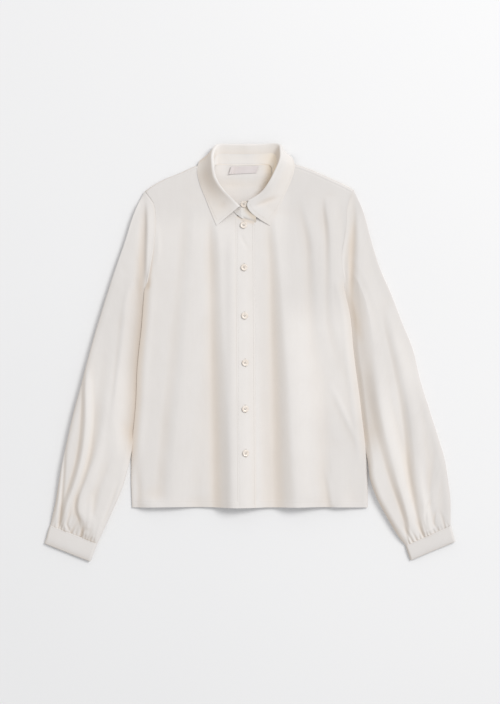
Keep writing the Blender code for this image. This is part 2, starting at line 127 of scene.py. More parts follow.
# ---------------------------------------------------------------- Back panel
# One piece of thin viscose, cut on the straight grain, that lies flat on the table. Only its top shows,
# through the open neck, and a hair of it at the side seams.

band_low, band_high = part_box("band_over")
CENTRE_X = (band_low.x + band_high.x) / 2 + 0.1 * MM     # centre front, in the frame
HEM_Y = band_low.y                                        # hem line, in the frame

CLOTH_WALL = 0.42     # one layer
FACED_WALL = 0.8      # two layers with interlining
BACK_TOP = 1.2        # upper face of the back
NECK_LIFT = 2.6       # how much the collar's fall under it lifts the back at the neck

# Side seams, from hem to underarm: y, x of the wearer's right seam, x of the left seam.
SIDES = [
    (0, -194, 207), (47, -195.5, 207), (76, -195, 206), (115, -193, 202), (157, -189, 197),
    (183, -187, 194), (234, -185, 187), (276, -181, 182), (302, -178, 180), (327, -176, 177),
    (368, -173, 168),
]
# Armhole seams, from underarm to shoulder tip: x, y.
ARMHOLE_RIGHT = [
    (-173, 368), (-168, 384), (-163, 407), (-158, 434), (-154, 463), (-153, 495), (-157, 517),
    (-172, 538),
]
ARMHOLE_LEFT = [
    (168, 368), (166, 392), (163, 412), (163, 432), (167, 455), (171, 484), (172, 508), (182, 541),
]
# Shoulder seams, from shoulder tip to neck: x, y.
SHOULDER_RIGHT = [(-172, 538), (-158, 548), (-137, 559), (-112, 569), (-85, 581), (-59, 587)]
SHOULDER_LEFT = [(182, 541), (167, 549), (143, 560), (109, 575), (80, 584), (50, 585)]
SIDE_SHARE = 0.66                    # the side seam's share of the way from hem to shoulder tip
NECK_START, NECK_END = 0.35, 0.65    # the neck's shares of the back's top edge

IVORY = (0.742, 0.714, 0.692)
IVORY_DEEP = (0.722, 0.692, 0.668)
DENSE = (0.770, 0.744, 0.722)        # the same cloth doubled over interlining
PAINTED_SHADE_TINT = (1.0, 0.905, 0.80)     # painted shade: the warm tint of the cloth where it turns from the lamp or lies in a trough
PAINTED_GLOW_TINT = (1.12, 1.0, 0.83)        # painted glow: a warmer, lighter tint round the inside of the collar
PAINTED_DIM_TINT = (0.75, 0.75, 0.755)            # painted shade: what the cloth is dimmed by in narrow valleys and other shaded places
WINDOW = np.array([0.53, 0.43, 0.73])    # the way to the lamp, which the painted shade is worked out from
THREADS = 2600                       # the weave's waves: radians to the metre


def laid(points):
    """Millimetres in the blouse's own places, as metres in the frame."""
    points = np.asarray(points, float) * MM
    return points + np.array([CENTRE_X, HEM_Y, 0])


def smooth(keys, values, at):
    """Values at these places, on a curve without kinks through the values at the keys."""
    slopes = np.gradient(values, keys, axis=0)
    at = np.clip(at, keys[0], keys[-1])
    index = np.clip(np.searchsorted(keys, at, side="right") - 1, 0, len(keys) - 2)
    span = keys[index + 1] - keys[index]
    t = (at - keys[index]) / span
    t, span = (part.reshape(part.shape + (1,) * (values.ndim - 1)) for part in (t, span))
    return (
        (2 * t**3 - 3 * t**2 + 1) * values[index] + (t**3 - 2 * t**2 + t) * span * slopes[index]
        + (3 * t**2 - 2 * t**3) * values[index + 1] + (t**3 - t**2) * span * slopes[index + 1]
    )


def along(points, fractions):
    """Points at these fractions of the length of a smooth curve through the given ones."""
    points = np.array(points, float)
    steps = np.linalg.norm(np.diff(points[:, :2], axis=0), axis=1)
    return smooth(np.concatenate([[0], np.cumsum(steps)]) / steps.sum(), points, fractions)


def joined(first, second, fractions, share):
    """Two smooth curves end to end, the first taking this share of the fractions."""
    start = fractions <= share
    return np.concatenate([
        along(first, fractions[start] / share), along(second, (fractions[~start] - share) / (1 - share)),
    ])


def ease(value):
    value = np.clip(value, 0, 1)
    return value * value * (3 - 2 * value)


def bell(distance, width):
    """1 in the middle, sinking softly to 0 on both sides."""
    return np.exp(-((distance / width) ** 2))


def roll(distance, radius):
    """0 to 1: how far a cloth edge has turned up, a quarter circle in from the edge."""
    inside = np.clip(distance / radius, 0, 1)
    return np.sqrt(np.clip(1 - (1 - inside) ** 2, 0, 1))


def patch(bottom, top, start, end, across, up):
    """Grid of points between four edges. bottom and top run across; start and end run up."""
    u = across[None, :, None]
    v = up[:, None, None]
    bottom, top, start, end = bottom[None], top[None], start[:, None], end[:, None]
    corners = (
        (1 - u) * (1 - v) * bottom[:, :1] + u * (1 - v) * bottom[:, -1:]
        + (1 - u) * v * top[:, :1] + u * v * top[:, -1:]
    )
    return (1 - v) * bottom + v * top + (1 - u) * start + u * end - corners


def drift(x, y, wide, high, seed):
    """Slow random unevenness from about -1 to 1, its bumps wide by high across."""
    table = np.random.default_rng(seed).uniform(-1, 1, (96, 96))
    column, row = np.asarray(x) / wide + 40, np.asarray(y) / high + 20
    left, low = np.floor(column).astype(int), np.floor(row).astype(int)

    def weights(t):
        return (
            (1 - t) ** 3 / 6, (3 * t**3 - 6 * t**2 + 4) / 6, (-3 * t**3 + 3 * t**2 + 3 * t + 1) / 6, t**3 / 6,
        )

    across, up = weights(column - left), weights(row - low)
    return 1.6 * sum(
        across[i] * up[j] * table[(low + j) % 96, (left + i) % 96] for i in range(4) for j in range(4)
    )


def weave_group():
    """Plain weave: threads over and under, a slub here and there, and the crinkle of pressed viscose."""
    group = bpy.data.node_groups.new("plain_weave", "ShaderNodeTree")
    for name, way, kind in (
        ("Crinkle", "INPUT", "NodeSocketFloat"), ("Vector", "INPUT", "NodeSocketVector"),
        ("Height", "OUTPUT", "NodeSocketFloat"), ("Tone", "OUTPUT", "NodeSocketFloat"),
    ):
        group.interface.new_socket(name, in_out=way, socket_type=kind)
    given = group.nodes.new("NodeGroupInput").outputs

    def maths(kind, *values):
        return add_node(group, "Math", dict(enumerate(values)), operation=kind).outputs[0]

    def noise(scale, detail, stretch=(1, 1, 1)):
        turned = add_node(group, "Mapping", {"Vector": given["Vector"], "Scale": stretch}).outputs["Vector"]
        made = add_node(group, "TexNoise", {"Vector": turned, "Scale": scale, "Detail": detail})
        return made.outputs["Fac"]

    split = add_node(group, "SeparateXYZ", {"Vector": given["Vector"]}).outputs
    warp, weft = (maths("SINE", maths("MULTIPLY", split[axis], THREADS)) for axis in "XY")
    crossing = maths("MULTIPLY", warp, weft)
    slub = noise(240, 2, (1, 0.12, 1))
    soft = noise(34, 3, (1, 0.6, 1))
    crinkled = maths("ADD", maths("MULTIPLY", noise(150, 4), 0.35), soft)
    height = maths("MULTIPLY_ADD", crossing, 0.05, maths("MULTIPLY", slub, 0.04))
    height = maths("MULTIPLY_ADD", crinkled, given["Crinkle"], height)
    tone = maths("MULTIPLY_ADD", slub, 0.3, maths("MULTIPLY", soft, 0.7))
    tone = maths("MULTIPLY_ADD", crossing, 0.08, tone)
    feed(group.nodes.new("NodeGroupOutput"), {"Height": height, "Tone": tone})
    return group


plain_weave = weave_group()


def viscose(name, turn=0, light=IVORY, deep=IVORY_DEEP, crinkle=0.5, painted_tint=PAINTED_SHADE_TINT):
    """Ivory viscose with a dull sheen; turn is the grain's angle in degrees."""
    made, tree, shader, place = new_material(name, {
        "Roughness": 0.78, "Specular IOR Level": 0.25,
        "Sheen Weight": 0.12, "Sheen Roughness": 0.45, "Sheen Tint": (1, 0.985, 0.96, 1),
    })
    grain = {"Vector": place, "Rotation": (0, 0, math.radians(turn))}
    grain = add_node(tree, "Mapping", grain).outputs["Vector"]
    weave = add_node(tree, "Group", {"Vector": grain, "Crinkle": crinkle}, node_tree=plain_weave)
    color = ramp(tree, weave.outputs["Tone"], deep, light, (0.3, 0.62))
    # Painted light: one point attribute tints the colour by the given tint, painted shade in hollows and
    # painted glow inside the collar; the other dims it as painted shade.
    for attribute, tint in (("painted_shade_glow", painted_tint), ("painted_dim", PAINTED_DIM_TINT)):
        amount = add_node(tree, "Attribute", {}, attribute_name=attribute).outputs["Fac"]
        mixed = {"Factor": amount, "A": color, "B": (*tint, 1)}
        color = add_node(tree, "Mix", mixed, data_type="RGBA", blend_type="MULTIPLY").outputs["Result"]
    bump = add_node(tree, "Bump", {"Height": weave.outputs["Height"], "Strength": 0.35, "Distance": 0.0006})
    feed(shader, {"Base Color": color, "Normal": bump.outputs["Normal"]})
    return made


def finished(obj, node, material):
    """Gives a piece its material and its place in the frame. Thread has no solid of its own to replace."""
    obj.data.materials.clear()
    obj.data.materials.append(material)
    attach(obj, "root")
    if node:
        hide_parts(node)
    return obj


def mesh_object(name, points, faces):
    mesh = bpy.data.meshes.new(name)
    mesh.from_pydata(points, [], faces)
    mesh.update()
    mesh.shade_smooth()
    obj = bpy.data.objects.new(name, mesh)
    bpy.context.collection.objects.link(obj)
    return obj


def choose(obj):
    """Makes this the one object that the next operations work on."""
    bpy.ops.object.select_all(action="DESELECT")
    bpy.context.view_layer.objects.active = obj
    obj.select_set(True)


def blurred(values, cells, ring):
    """The grid of values smoothed over this many cells each way."""
    size = 2 * cells + 1
    for axis in (0, 1):
        for _ in range(2):
            wrap = "wrap" if ring and axis == 1 else "edge"
            pads = [(cells, cells) if at == axis else (0, 0) for at in (0, 1)]
            total = np.cumsum(np.pad(values, pads, mode=wrap), axis=axis)
            total = np.concatenate([np.zeros_like(total.take([0], axis)), total], axis=axis)
            count = total.shape[axis]
            values = (total.take(range(size, count), axis) - total.take(range(count - size), axis)) / size
    return values


def painted_shade_amounts(grid, ring, flip):
    """0 to 1: painted shade, by how much each point turns from the lamp or lies in a trough; the colour is
    tinted there.
    """
    down = np.gradient(grid, axis=0)
    over = np.roll(grid, -1, 1) - np.roll(grid, 1, 1) if ring else np.gradient(grid, axis=1)
    normal = np.cross(down, over)
    normal = normal / np.maximum(np.linalg.norm(normal, axis=2, keepdims=True), 1e-9)
    normal = normal if flip else -normal
    turned = np.clip(1 - normal @ WINDOW / WINDOW[2], 0, 1.4) * ease((normal[..., 2] + 0.1) / 0.2)
    trough = np.clip((blurred(grid[..., 2], 6, ring) - grid[..., 2]) / 1.6, -0.2, 1)
    return np.clip(blurred(0.75 * turned + 0.4 * trough, 1, ring), 0, 1)


def sewn(name, grid, wall, ring=False, flip=False, shade=0, painted_dim=0):
    """A thin wall of cloth under a grid of points in millimetres. With ring=True each row is a ring."""
    rows, columns = grid.shape[:2]
    i, j = np.meshgrid(np.arange(rows - 1), np.arange(columns if ring else columns - 1), indexing="ij")
    here, beside = i * columns + j, i * columns + (j + 1) % columns
    faces = np.stack([here, beside, beside + columns, here + columns], axis=-1).reshape(-1, 4)
    faces = faces[:, ::-1] if flip else faces
    obj = mesh_object(name + "_cloth", laid(grid.reshape(-1, 3)).tolist(), faces.tolist())
    # Painted shade and glow, and painted dimming, kept as point attributes for the material.
    amounts = {"painted_shade_glow": painted_shade_amounts(grid, ring, flip) + shade, "painted_dim": np.zeros((rows, columns)) + painted_dim}
    for attribute, amount in amounts.items():
        made = obj.data.attributes.new(attribute, "FLOAT", "POINT")
        made.data.foreach_set("value", np.clip(amount, 0, 1).astype(np.float32).ravel())
    choose(obj)
    solidify = obj.modifiers.new("wall", "SOLIDIFY")
    solidify.thickness = wall * MM
    solidify.offset = -1
    solidify.use_even_offset = False
    bpy.ops.object.modifier_apply(modifier="wall")
    bpy.ops.object.shade_smooth_by_angle(angle=math.radians(55))
    return obj


def side_edge(armhole, column, fractions):
    """Side seam and armhole seam, from hem to shoulder tip."""
    seam = [(row[column], row[0]) for row in SIDES]
    return joined(seam, armhole, fractions, SIDE_SHARE)


def back_height(x, y):
    """Upper face of the back: flat, and lifted at the neck by the collar's fall under it."""
    return BACK_TOP + NECK_LIFT * ease((y - 545) / 24) * (1 - ease((np.abs(x) - 66) / 14))


def back_grid():
    across = np.linspace(0, 1, 81)
    up = np.concatenate([np.linspace(0, 0.84, 60, endpoint=False), np.linspace(0.84, 1, 56)])
    start, end = side_edge(ARMHOLE_RIGHT, 1, up), side_edge(ARMHOLE_LEFT, 2, up)
    neck = [SHOULDER_RIGHT[-1], (-45, 584), (0, 583.5), (40, 584), SHOULDER_LEFT[-1]]
    first, last = across < NECK_START, across > NECK_END
    top = np.concatenate([
        along(SHOULDER_RIGHT, across[first] / NECK_START),
        along(neck, (across[~(first | last)] - NECK_START) / (NECK_END - NECK_START)),
        along(SHOULDER_LEFT[::-1], (across[last] - NECK_END) / (1 - NECK_END)),
    ])
    hem = along([start[0], (0, 0), end[0]], across)
    grid = patch(hem, top, start, end, across, up)
    x, y = grid[..., 0], grid[..., 1]
    inside = ease((y - 480) / 30) * (1 - ease((np.abs(x) - 50) / 12))
    z = back_height(x, y) + inside * (0.35 + 0.35 * drift(x, y, 26, 18, 5) + 0.12 * drift(x, y, 9, 7, 6))
    # Painted glow: beside the collar's left half the back is tinted warmer and lighter.
    neck_x = np.interp(y, [507, 519, 534, 548, 562, 577], [15, 23, 32, 39, 44, 44])
    shade = 0.95 * bell(np.clip(neck_x - x, 0, None), 11) * ease((y - 500) / 12)
    return np.dstack([grid, z]), shade


grid, shade = back_grid()
cloth = viscose("viscose_back", painted_tint=PAINTED_GLOW_TINT)
back = finished(sewn("back", grid, CLOTH_WALL, shade=shade), "back", cloth)


# ---------------------------------------------------------------- Fronts
# Two panels of the same cloth, with turned hems, seamed to the back at the sides and shoulders. They lie
# slack, so long folds run down from the yoke of the collar and finer creases cross them.

FRONT_TOP = 6.0
SIDE_ROLL = 7.0
SHOULDER_ROLL = 5.0
ARMHOLE_TOP = 6.0
SIDE_LIFT = 2.6       # how much higher a side seam lies where the sleeve is next to it
SIDE_RIDGE = 1.3      # the soft ridge along it
BAND_HALF = 15.3
SEW_IN = 2.0          # how far a front runs in under the button band
SLOW_RIGHT, SLOW_LEFT = 0.6, 0.25    # how much of each front rises slowly from its side seam
FRONT_SHARE = 0.82    # the front edge's share of the way from hem to shoulder
HEM_LAYERS = 0.5      # how much higher the turned hem lies
HEM_STEP = 9.4        # where the step down from it begins

# Each fold: over "rise" mm, centred on x, the cloth climbs by "height" towards +x, and it sinks back over
# "fall" mm. Its fall comes first, then its rows from the top down: y, x, height, rise.
BODY_FOLDS = [
    (62, [(500, -58, 0, 14), (475, -56, 3.5, 18), (353, -51, 6.5, 24), (268, -48, 9, 28),
         (115, -42.5, 12, 34), (0, -39, 14, 38)]),
    (60, [(500, 42, 0, 14), (468, 44, 3, 18), (421, 48, 5, 20), (319, 53, 8.5, 26), (217, 58, 11, 32),
         (81, 63, 13, 38), (0, 67, 14, 42)]),
    (48, [(520, -98, 0, 24), (497, -99, 1.2, 24), (387, -107, 2.4, 26), (251, -119, 3, 28),
         (64, -138, 4.5, 28), (0, -142, 5, 30)]),
    (30, [(530, 92, 0, 14), (502, 97, 1.2, 14), (455, 107, 3, 14), (417, 110, 3, 16),
         (353, 113, 2.6, 18), (217, 122, 0, 20)]),
    (24, [(530, 133, 0, 9), (506, 134, 2.2, 9), (472, 138, 3, 10), (417, 140, 2.8, 12),
         (319, 143, 2, 16), (220, 165, 0, 18)]),
    (36, [(110, 134, 0, 16), (64, 138, 1.5, 18), (0, 147, 3, 20)]),
]
# Fine creases: width, then points along the line: x, y, height.
BODY_CREASES = [
    (5.5, [(140, 214, 0), (157, 180, 0.9), (172, 147, 1.2), (192, 103, 0)]),
    (5.0, [(134, 75, 0), (141, 40, 0.9), (146, 6, 1.2)]),
    (4.5, [(-150, 480, 0), (-149, 440, 0.8), (-154, 400, 0)]),
    (6.0, [(-186, 70, 0), (-184, 30, -1.4), (-186, 2, -1.2)]),
    (3.0, [(-10, 468, 0), (-4, 452, -0.7), (5, 438, 0)]),
]
# Waves of the hem: x, half width, rise.
HEM_WAVES = [(-157, 19, 5.6), (-82, 24, -2.2), (104, 26, -2.6), (165, 16, 1.4)]
# The collar, round the neck from the wearer's right front end to the left one. neck: seam with the body;
# roll: the fold between stand and fall; edge: the outer edge of the fall, under the blouse at the back.
COLLAR = [
    # neck x, y      roll x, y, z      edge x, y, z above what it lies on
    (-16, 499,      -10, 511, 15,     -50, 479, 0.8),
    (-24, 507,      -25, 524, 19,     -60, 503, 0.8),
    (-38, 524,      -42, 541, 24,     -69, 526, 0.8),
    (-50, 546,      -54, 561, 28,     -78, 549, 0.8),
    (-55, 567,      -57, 582, 30,     -83, 574, 0.5),
    (-53, 581,      -57, 603, 21,     -77, 592, -5),
    (-42, 583,      -49, 617, 10,     -58, 594, -9),
    (-22, 582,      -26, 618, 8,      -28, 580, -9),
    (0, 582,         0, 618, 8,        0, 578, -9),
    (20, 582,        27, 618, 8,       28, 580, -9),
    (37, 583,        56, 618, 10,      60, 596, -9),
    (44, 577,        61, 607, 20,      76, 598, -1.6),
    (44, 562,        60, 590, 26,      83, 580, 0.8),
    (39, 548,        51, 569, 26,      77, 556, 0.8),
    (32, 534,        40, 549, 24,      66, 531, 0.8),
    (23, 519,        27, 534, 20,      56, 509, 0.6),
    (15, 507,         3, 521, 16.5,    41, 479, 0.3),
]


def folded(folds, x, y):
    """Height that the folds add at x, y."""
    height = np.zeros(np.shape(x))
    for fall, rows in folds:
        rows = np.array(sorted(rows), float)
        centre, top, rise = np.moveaxis(smooth(rows[:, 0], rows[:, 1:], y), -1, 0)
        from_foot = x - centre + rise / 2
        height = height + np.maximum(top, 0) * ease(from_foot / rise) * (1 - ease((from_foot - rise) / fall))
    return height


def near_line(line, x, y):
    """Distance of each spot to each stretch of a line, and the share of the stretch where it is nearest."""
    spot = np.stack([x, y], axis=1)[:, None]
    start, step = line[:-1][None], np.diff(line, axis=0)[None]
    share = np.clip(((spot - start) * step).sum(axis=2) / (step**2).sum(axis=2), 0, 1)
    return np.linalg.norm(spot - start - share[..., None] * step, axis=2), share


def creased(creases, x, y):
    """Height that soft creases add at x, y: a ridge, or a trough where the height is negative."""
    height = np.zeros(np.shape(x))
    for width, points in creases:
        line = along(points, np.linspace(0, 1, 4 * len(points)))
        low, high = line.min(axis=0) - 3 * width, line.max(axis=0) + 3 * width
        near = (x > low[0]) & (x < high[0]) & (y > low[1]) & (y < high[1])
        if not near.any():
            continue
        away, share = near_line(line[:, :2], x[near], y[near])
        best = away.argmin(axis=1)
        pick = np.arange(len(best))
        level = line[best, 2] + (line[best + 1, 2] - line[best, 2]) * share[pick, best]
        height[near] += level * bell(away[pick, best], width)
    return height


def front_height(x, y):
    """Height of the fronts' upper face, away from their edges."""
    slack = 0.55 * drift(x, y, 46, 120, 1) + 0.22 * drift(x, y, 19, 42, 2) + 0.05 * drift(x, y, 7, 9, 3)
    return FRONT_TOP + folded(BODY_FOLDS, x, y) + creased(BODY_CREASES, x, y) + slack


def band_centre(y):
    """The button band leans a little: x of its centre line."""
    return np.interp(y, [0, 490], [1.6, -1.8])


def front_shades(side, x, y, beside):
    """Painted shade on a front: how far its colour is tinted warmer, and how far it is dimmed."""
    if side > 0:
        # Painted shade: this front is dimmed over its upper outer part and its lower outer corner.
        painted_dim = 0.32 * ease((y - 300) / 70) * ease((x - 50) / 30) + 0.08 * beside
        return 0.3 * beside, painted_dim + 0.16 * ease((x - 90) / 40) * ease((190 - y) / 60)
    # Painted shade: the front is dimmed over the yoke and beside the sleeve, and below the chest a little
    # more, most in a strip beside the band.
    at_band = 0.07 * ease((-60 - x) / 20) + 0.3 * bell(x + 30, 7)
    painted_dim = 0.2 * ease((y - 470) / 40) + 0.35 * beside + at_band * (1 - ease((y - 420) / 60))
    # Painted shade along a short crease beside this armhole: the colour is tinted warmer and dimmed.
    crease_shade = bell(x - np.interp(y, [365, 400, 440, 475], [-167, -163, -159, -157]), 3.2)
    crease_shade = crease_shade * ease((y - 365) / 15) * ease((480 - y) / 50)
    return 0.8 * beside + 0.6 * crease_shade, painted_dim + 0.5 * crease_shade


def front_grid(side, armhole, column, shoulder):
    """side is -1 for the wearer's right front and 1 for the left one."""
    even = np.linspace(0, 1, 118)
    across = 0.35 * even + 0.65 * (1 - np.cos(even * math.pi / 2))
    up = np.concatenate([
        np.linspace(0, FRONT_SHARE, 216), np.linspace(FRONT_SHARE, 0.97, 38)[1:],
        np.linspace(0.97, 1, 16)[1:],
    ])
    neck = [(row[0] + side * 0.6, row[1]) for row in COLLAR if row[0] * side > 20 and row[1] < 582]
    neck = sorted(neck, key=lambda point: point[1])
    middle = [(side * (BAND_HALF - SEW_IN) + band_centre(y), y) for y in (0, 165, 330, 498)]
    inner = joined(middle, [middle[-1]] + neck + [shoulder[-1]], up, FRONT_SHARE)
    top = along(shoulder, across)
    outer = side_edge(armhole, column, up)
    hem = along([outer[0], (side * 110, 1), inner[0]], across)
    grid = patch(hem, top, outer, inner, across, up)
    x, y = grid[..., 0], grid[..., 1]
    to_side = np.linalg.norm(grid - outer[:, None], axis=2)
    to_top = np.linalg.norm(grid - top[None], axis=2)
    rest = back_height(x, y) + CLOTH_WALL + 0.1
    at_armhole = ease((y - 372) / 24)
    by_sleeve = ease((y - 60) / 50) * (1 - at_armhole)
    at_tip = roll(np.linalg.norm(grid - outer[-1], axis=2), 10)
    side_low = rest + (ARMHOLE_TOP - rest) * at_armhole * at_tip + SIDE_LIFT * by_sleeve
    level = front_height(x, y) + SIDE_RIDGE * by_sleeve * bell(to_side - 12, 7)
    # The hem waves a little, and it is turned up 10 mm: two layers more, with a step where they end.
    for place, wide, rise in HEM_WAVES:
        level = level + rise * bell(x - place, wide) * bell(y, 16)
    level = level + HEM_LAYERS * (1 - ease((y - HEM_STEP) / 1.2))
    # The side rolls down to the seam, on the wearer's right more slowly.
    slow = (1 - at_armhole) * (SLOW_RIGHT if side < 0 else SLOW_LEFT)
    z = side_low + (level - side_low) * ((1 - slow) * roll(to_side, SIDE_ROLL) + slow * ease(to_side / 24))
    # The shoulder turns down to the back; the neckline stays up, under the collar stand.
    neck_share = ease((across - 0.78) / 0.16)[None]
    near_top = np.maximum(roll(to_top, SHOULDER_ROLL), neck_share)
    top_low = rest + 0.4 * neck_share
    z = np.minimum(z, top_low + (z - top_low) * near_top)
    # The shoulder seam shows as a fine groove just forward of the edge.
    z = z - 0.5 * bell(to_top - 6, 0.9) * (1 - neck_share)
    # The cloth goes on down at the side seam to meet the back.
    grid = np.dstack([grid, z])
    seam = grid[:, :1] - np.array([side * 0.8, 0, 0])
    seam[..., 2] = np.minimum(rest, side_low - 1.6 * at_armhole)[:, :1]
    # Painted shade for the front's colour, beside the sleeve and elsewhere.
    shades = front_shades(side, x, y, by_sleeve * bell(to_side, 8))
    shade, painted_dim = (np.concatenate([values[:, :1], values], axis=1) for values in shades)
    return np.concatenate([seam, grid], axis=1), shade, painted_dim


def make_front(name, side, armhole, column, shoulder):
    grid, shade, painted_dim = front_grid(side, armhole, column, shoulder)
    obj = sewn(name, grid, CLOTH_WALL, flip=side > 0, shade=shade, painted_dim=painted_dim)
    return finished(obj, name, viscose("viscose_" + name))


front_right = make_front("front_right", -1, ARMHOLE_RIGHT, 1, SHOULDER_RIGHT)
front_left = make_front("front_left", 1, ARMHOLE_LEFT, 2, SHOULDER_LEFT)


# ---------------------------------------------------------------- Button bands
# Strips of doubled cloth with interlining down both front edges. The wearer's right one laps over the left
# one, and its free edge is on the left.

BAND_END = 495.0
BAND_LOW, BAND_UP = 0.27, 1.0     # how high the band lies over the front, at its sewn edge and beyond
STITCH_IN = 2.4                   # how far its stitches lie in from its edges


def make_band(name, drop, end_y, wall, top_edge):
    """A band from hem to neck; drop is how far it lies under the upper one."""
    y = np.linspace(0, end_y, 236)[:, None]
    reach = BAND_HALF + 0.3
    offsets = reach * np.sin(np.linspace(-math.pi / 2, math.pi / 2, 27))[None]
    x = band_centre(y) + offsets
    y = np.broadcast_to(y, x.shape)
    # The sewn edge lies close to the front, and both edges are rounded off.
    lift = BAND_LOW + (BAND_UP - BAND_LOW) * ease((offsets + BAND_HALF) / 14)
    edge = 0.3 * (1 - roll(reach - np.abs(offsets), 0.7))
    pressed = 0.16 * bell(np.abs(offsets) - (BAND_HALF - STITCH_IN), 0.7)
    z = front_height(x, y) + lift - edge - pressed - drop
    shade = 0
    if top_edge:
        z = z - 0.3 * (1 - roll(end_y - y, 0.7))
        # It is shaded where the collar stand laps over it.
        shade = 0.8 * bell(y - np.interp(x, [-16, -7, 5, 17], [498, 491, 487, 484]), 4)
    obj = sewn(name, np.dstack([x, y, z]), wall, shade=shade, painted_dim=0.3 * shade)
    return finished(obj, name, viscose("viscose_" + name, crinkle=0.3))


band_under = make_band("band_under", 2.0, 500, CLOTH_WALL, False)
band_over = make_band("band_over", 0, BAND_END, 0.5, True)


# ---------------------------------------------------------------- Sleeves
# Long sleeves of one piece each, seamed under the arm and laid flat, gathered into the cuffs. Their slack
# falls in folds that run down to the gathers.

SLEEVE_EDGE = 3.0
SLEEVE_ROLL = 10.0
TUCK = 4.0                            # how far a sleeve lies in under the side seam
TUCK_RIGHT, TUCK_LEFT = 3, 20         # how soon it does so below the underarm
ROUND_RIGHT, ROUND_LEFT = 7.0, 3.6    # how much higher a sleeve's outermost line lies along its middle

# From armhole to cuff seam: outer line x, y, inner line x, y.
SLEEVE_RIGHT = [
    (-173, 537, -173.8, 367), (-190, 499, -175.6, 350), (-206, 449, -178.3, 322), (-222, 404, -182, 290),
    (-238, 355, -185.5, 252), (-252, 310, -188, 212), (-266, 261, -190, 167), (-280, 208, -194.5, 126),
    (-293, 160, -197.5, 84), (-304, 112, -206, 46), (-312, 75, -216, 18), (-319, 38, -228, -8),
    (-325, 3, -241, -36), (-329, -14, -247, -49), (-332.6, -29.5, -252.3, -60.5),
]
SLEEVE_LEFT = [
    (183, 540, 169.5, 367), (199, 503, 175.5, 350), (212, 456, 180.5, 324), (227, 408, 183, 292),
    (246, 364, 187, 252), (264, 317, 193, 212), (283, 270, 198, 168), (296, 216, 203, 126),
    (311, 168, 207.5, 84), (326, 121, 211, 48), (337, 84, 221, 19), (344, 43, 236, -10),
    (348, 10, 252, -38), (348, -10, 262, -53), (348.3, -30.5, 271.3, -63.9),
]
# At the same places of both: height, how much the section bends to the underarm, how much it follows the
# armhole.
SLEEVE_FORM = [
    (6.4, 0, 1), (8, 1, 0.62), (9.5, 0.8, 0.3), (11, 0.4, 0.1), (12, 0, 0), (13, 0, 0), (14, 0, 0),
    (15, 0, 0), (15, 0, 0), (15, 0, 0), (15, 0, 0), (14, 0, 0), (13, 0, 0), (10.5, 0, 0), (7, 0, 0),
]
SLEEVE_RIGHT_FOLDS = [
    (14, [(525, -171, 0, 6), (505, -170, 2, 6), (440, -170, 3, 7), (400, -171, 3, 7), (370, -173, 0, 7)]),
    (14, [(240, -275, 0, 9), (205, -275, 4, 9), (132, -277, 6, 11), (81, -284, 6.5, 11),
         (38, -296, 6.5, 11), (4, -308, 5.5, 10), (-30, -313, 3, 8)]),
    (26, [(310, -229, 0, 20), (200, -243, 3, 22), (132, -252, 4.5, 20), (87, -261, 5.5, 16),
         (47, -275, 6, 13), (18, -285, 6, 10), (-5, -286, 5, 8), (-20, -281, 4.5, 7), (-38, -278, 3, 7)]),
    (28, [(420, -195, 0, 16), (330, -207, 2, 18), (240, -214, 3, 20), (150, -224, 3.5, 20),
         (60, -242, 2.5, 18), (-20, -262, 1.5, 10)]),
]
SLEEVE_LEFT_FOLDS = [
    (30, [(525, 184, 0, 8), (490, 187, 1.5, 9), (378, 188, 2, 10), (300, 196, 1, 12),
         (240, 205, 0, 14)]),
    (24, [(260, 208, 0, 16), (208, 212, 3, 16), (98, 236, 5, 17), (47, 250, 6, 15),
         (4, 264, 6.5, 12), (-30, 273, 4.5, 9), (-52, 275, 2, 7)]),
    (24, [(350, 236, 0, 16), (315, 240, 3, 16), (234, 257, 5, 16), (183, 267, 5.5, 16),
         (100, 277, 6.5, 15), (50, 281, 6.5, 14), (4, 289, 6, 11), (-30, 297, 4, 8), (-48, 302, 2, 7)]),
    (24, [(280, 258, 0, 18), (200, 275, 2.5, 18), (132, 284, 3.5, 18), (47, 292, 4, 14),
         (-13, 301, 4, 11), (-38, 306, 3, 8)]),
    (16, [(115, 322, 0, 12), (70, 318, 2, 10), (21, 313, 3, 9), (-29, 321, 2.5, 8)]),
]
SLEEVE_RIGHT_CREASES = [
    (3.4, [(-303, 150, 0), (-307, 115, -1.8), (-310, 52, -2.4), (-315, -4, -3.0), (-318, -31, -2.2)]),
    (2.6, [(-296, 8, 0), (-300, -13, -2.0), (-304, -30, -2.4), (-298, -43, -1.2)]),
    (3.6, [(-212, 55, 0), (-221, 30, -1.2), (-232, 0, -1.8), (-242, -30, -2.2), (-249, -52, -1.4)]),
    (2.6, [(-281, -8, 0), (-277, -30, -1.6), (-281, -50, -1.0)]),
    (4.5, [(-262, 24, 0), (-264, -6, 1.6), (-268, -32, 1.2)]),
    (5.0, [(-199, 390, 0), (-207, 302, 0.9), (-223, 183, 0.9), (-236, 110, 0)]),
    (6.5, [(-171, 526, 0), (-174, 500, -1.2), (-177, 455, -2.6), (-178, 410, -3.0), (-179, 375, -2.8),
           (-180, 348, -1.8), (-182, 325, 0)]),
]
SLEEVE_LEFT_CREASES = [
    (2.8, [(324, 26, 0), (312, 10, -1.6), (305, -4, -2.0), (305, -20, -1.6), (309, -36, -1.0)]),
    (2.4, [(324, 2, 0), (320, -12, -1.8), (318, -24, -1.8), (325, -38, -1.4)]),
    (2.4, [(329, -4, 0), (334, -19, -1.6), (338, -34, -1.2)]),
    (4.5, [(338, 98, 0), (328, 60, 1.3), (318, 14, 0)]),
    (4.5, [(184, 512, 0), (182, 480, -1.6), (181, 450, -2.0), (179.5, 415, -2.2), (179, 380, -2.4),
           (181.5, 345, -2.2), (186, 305, -1.2), (190, 270, 0)]),
]
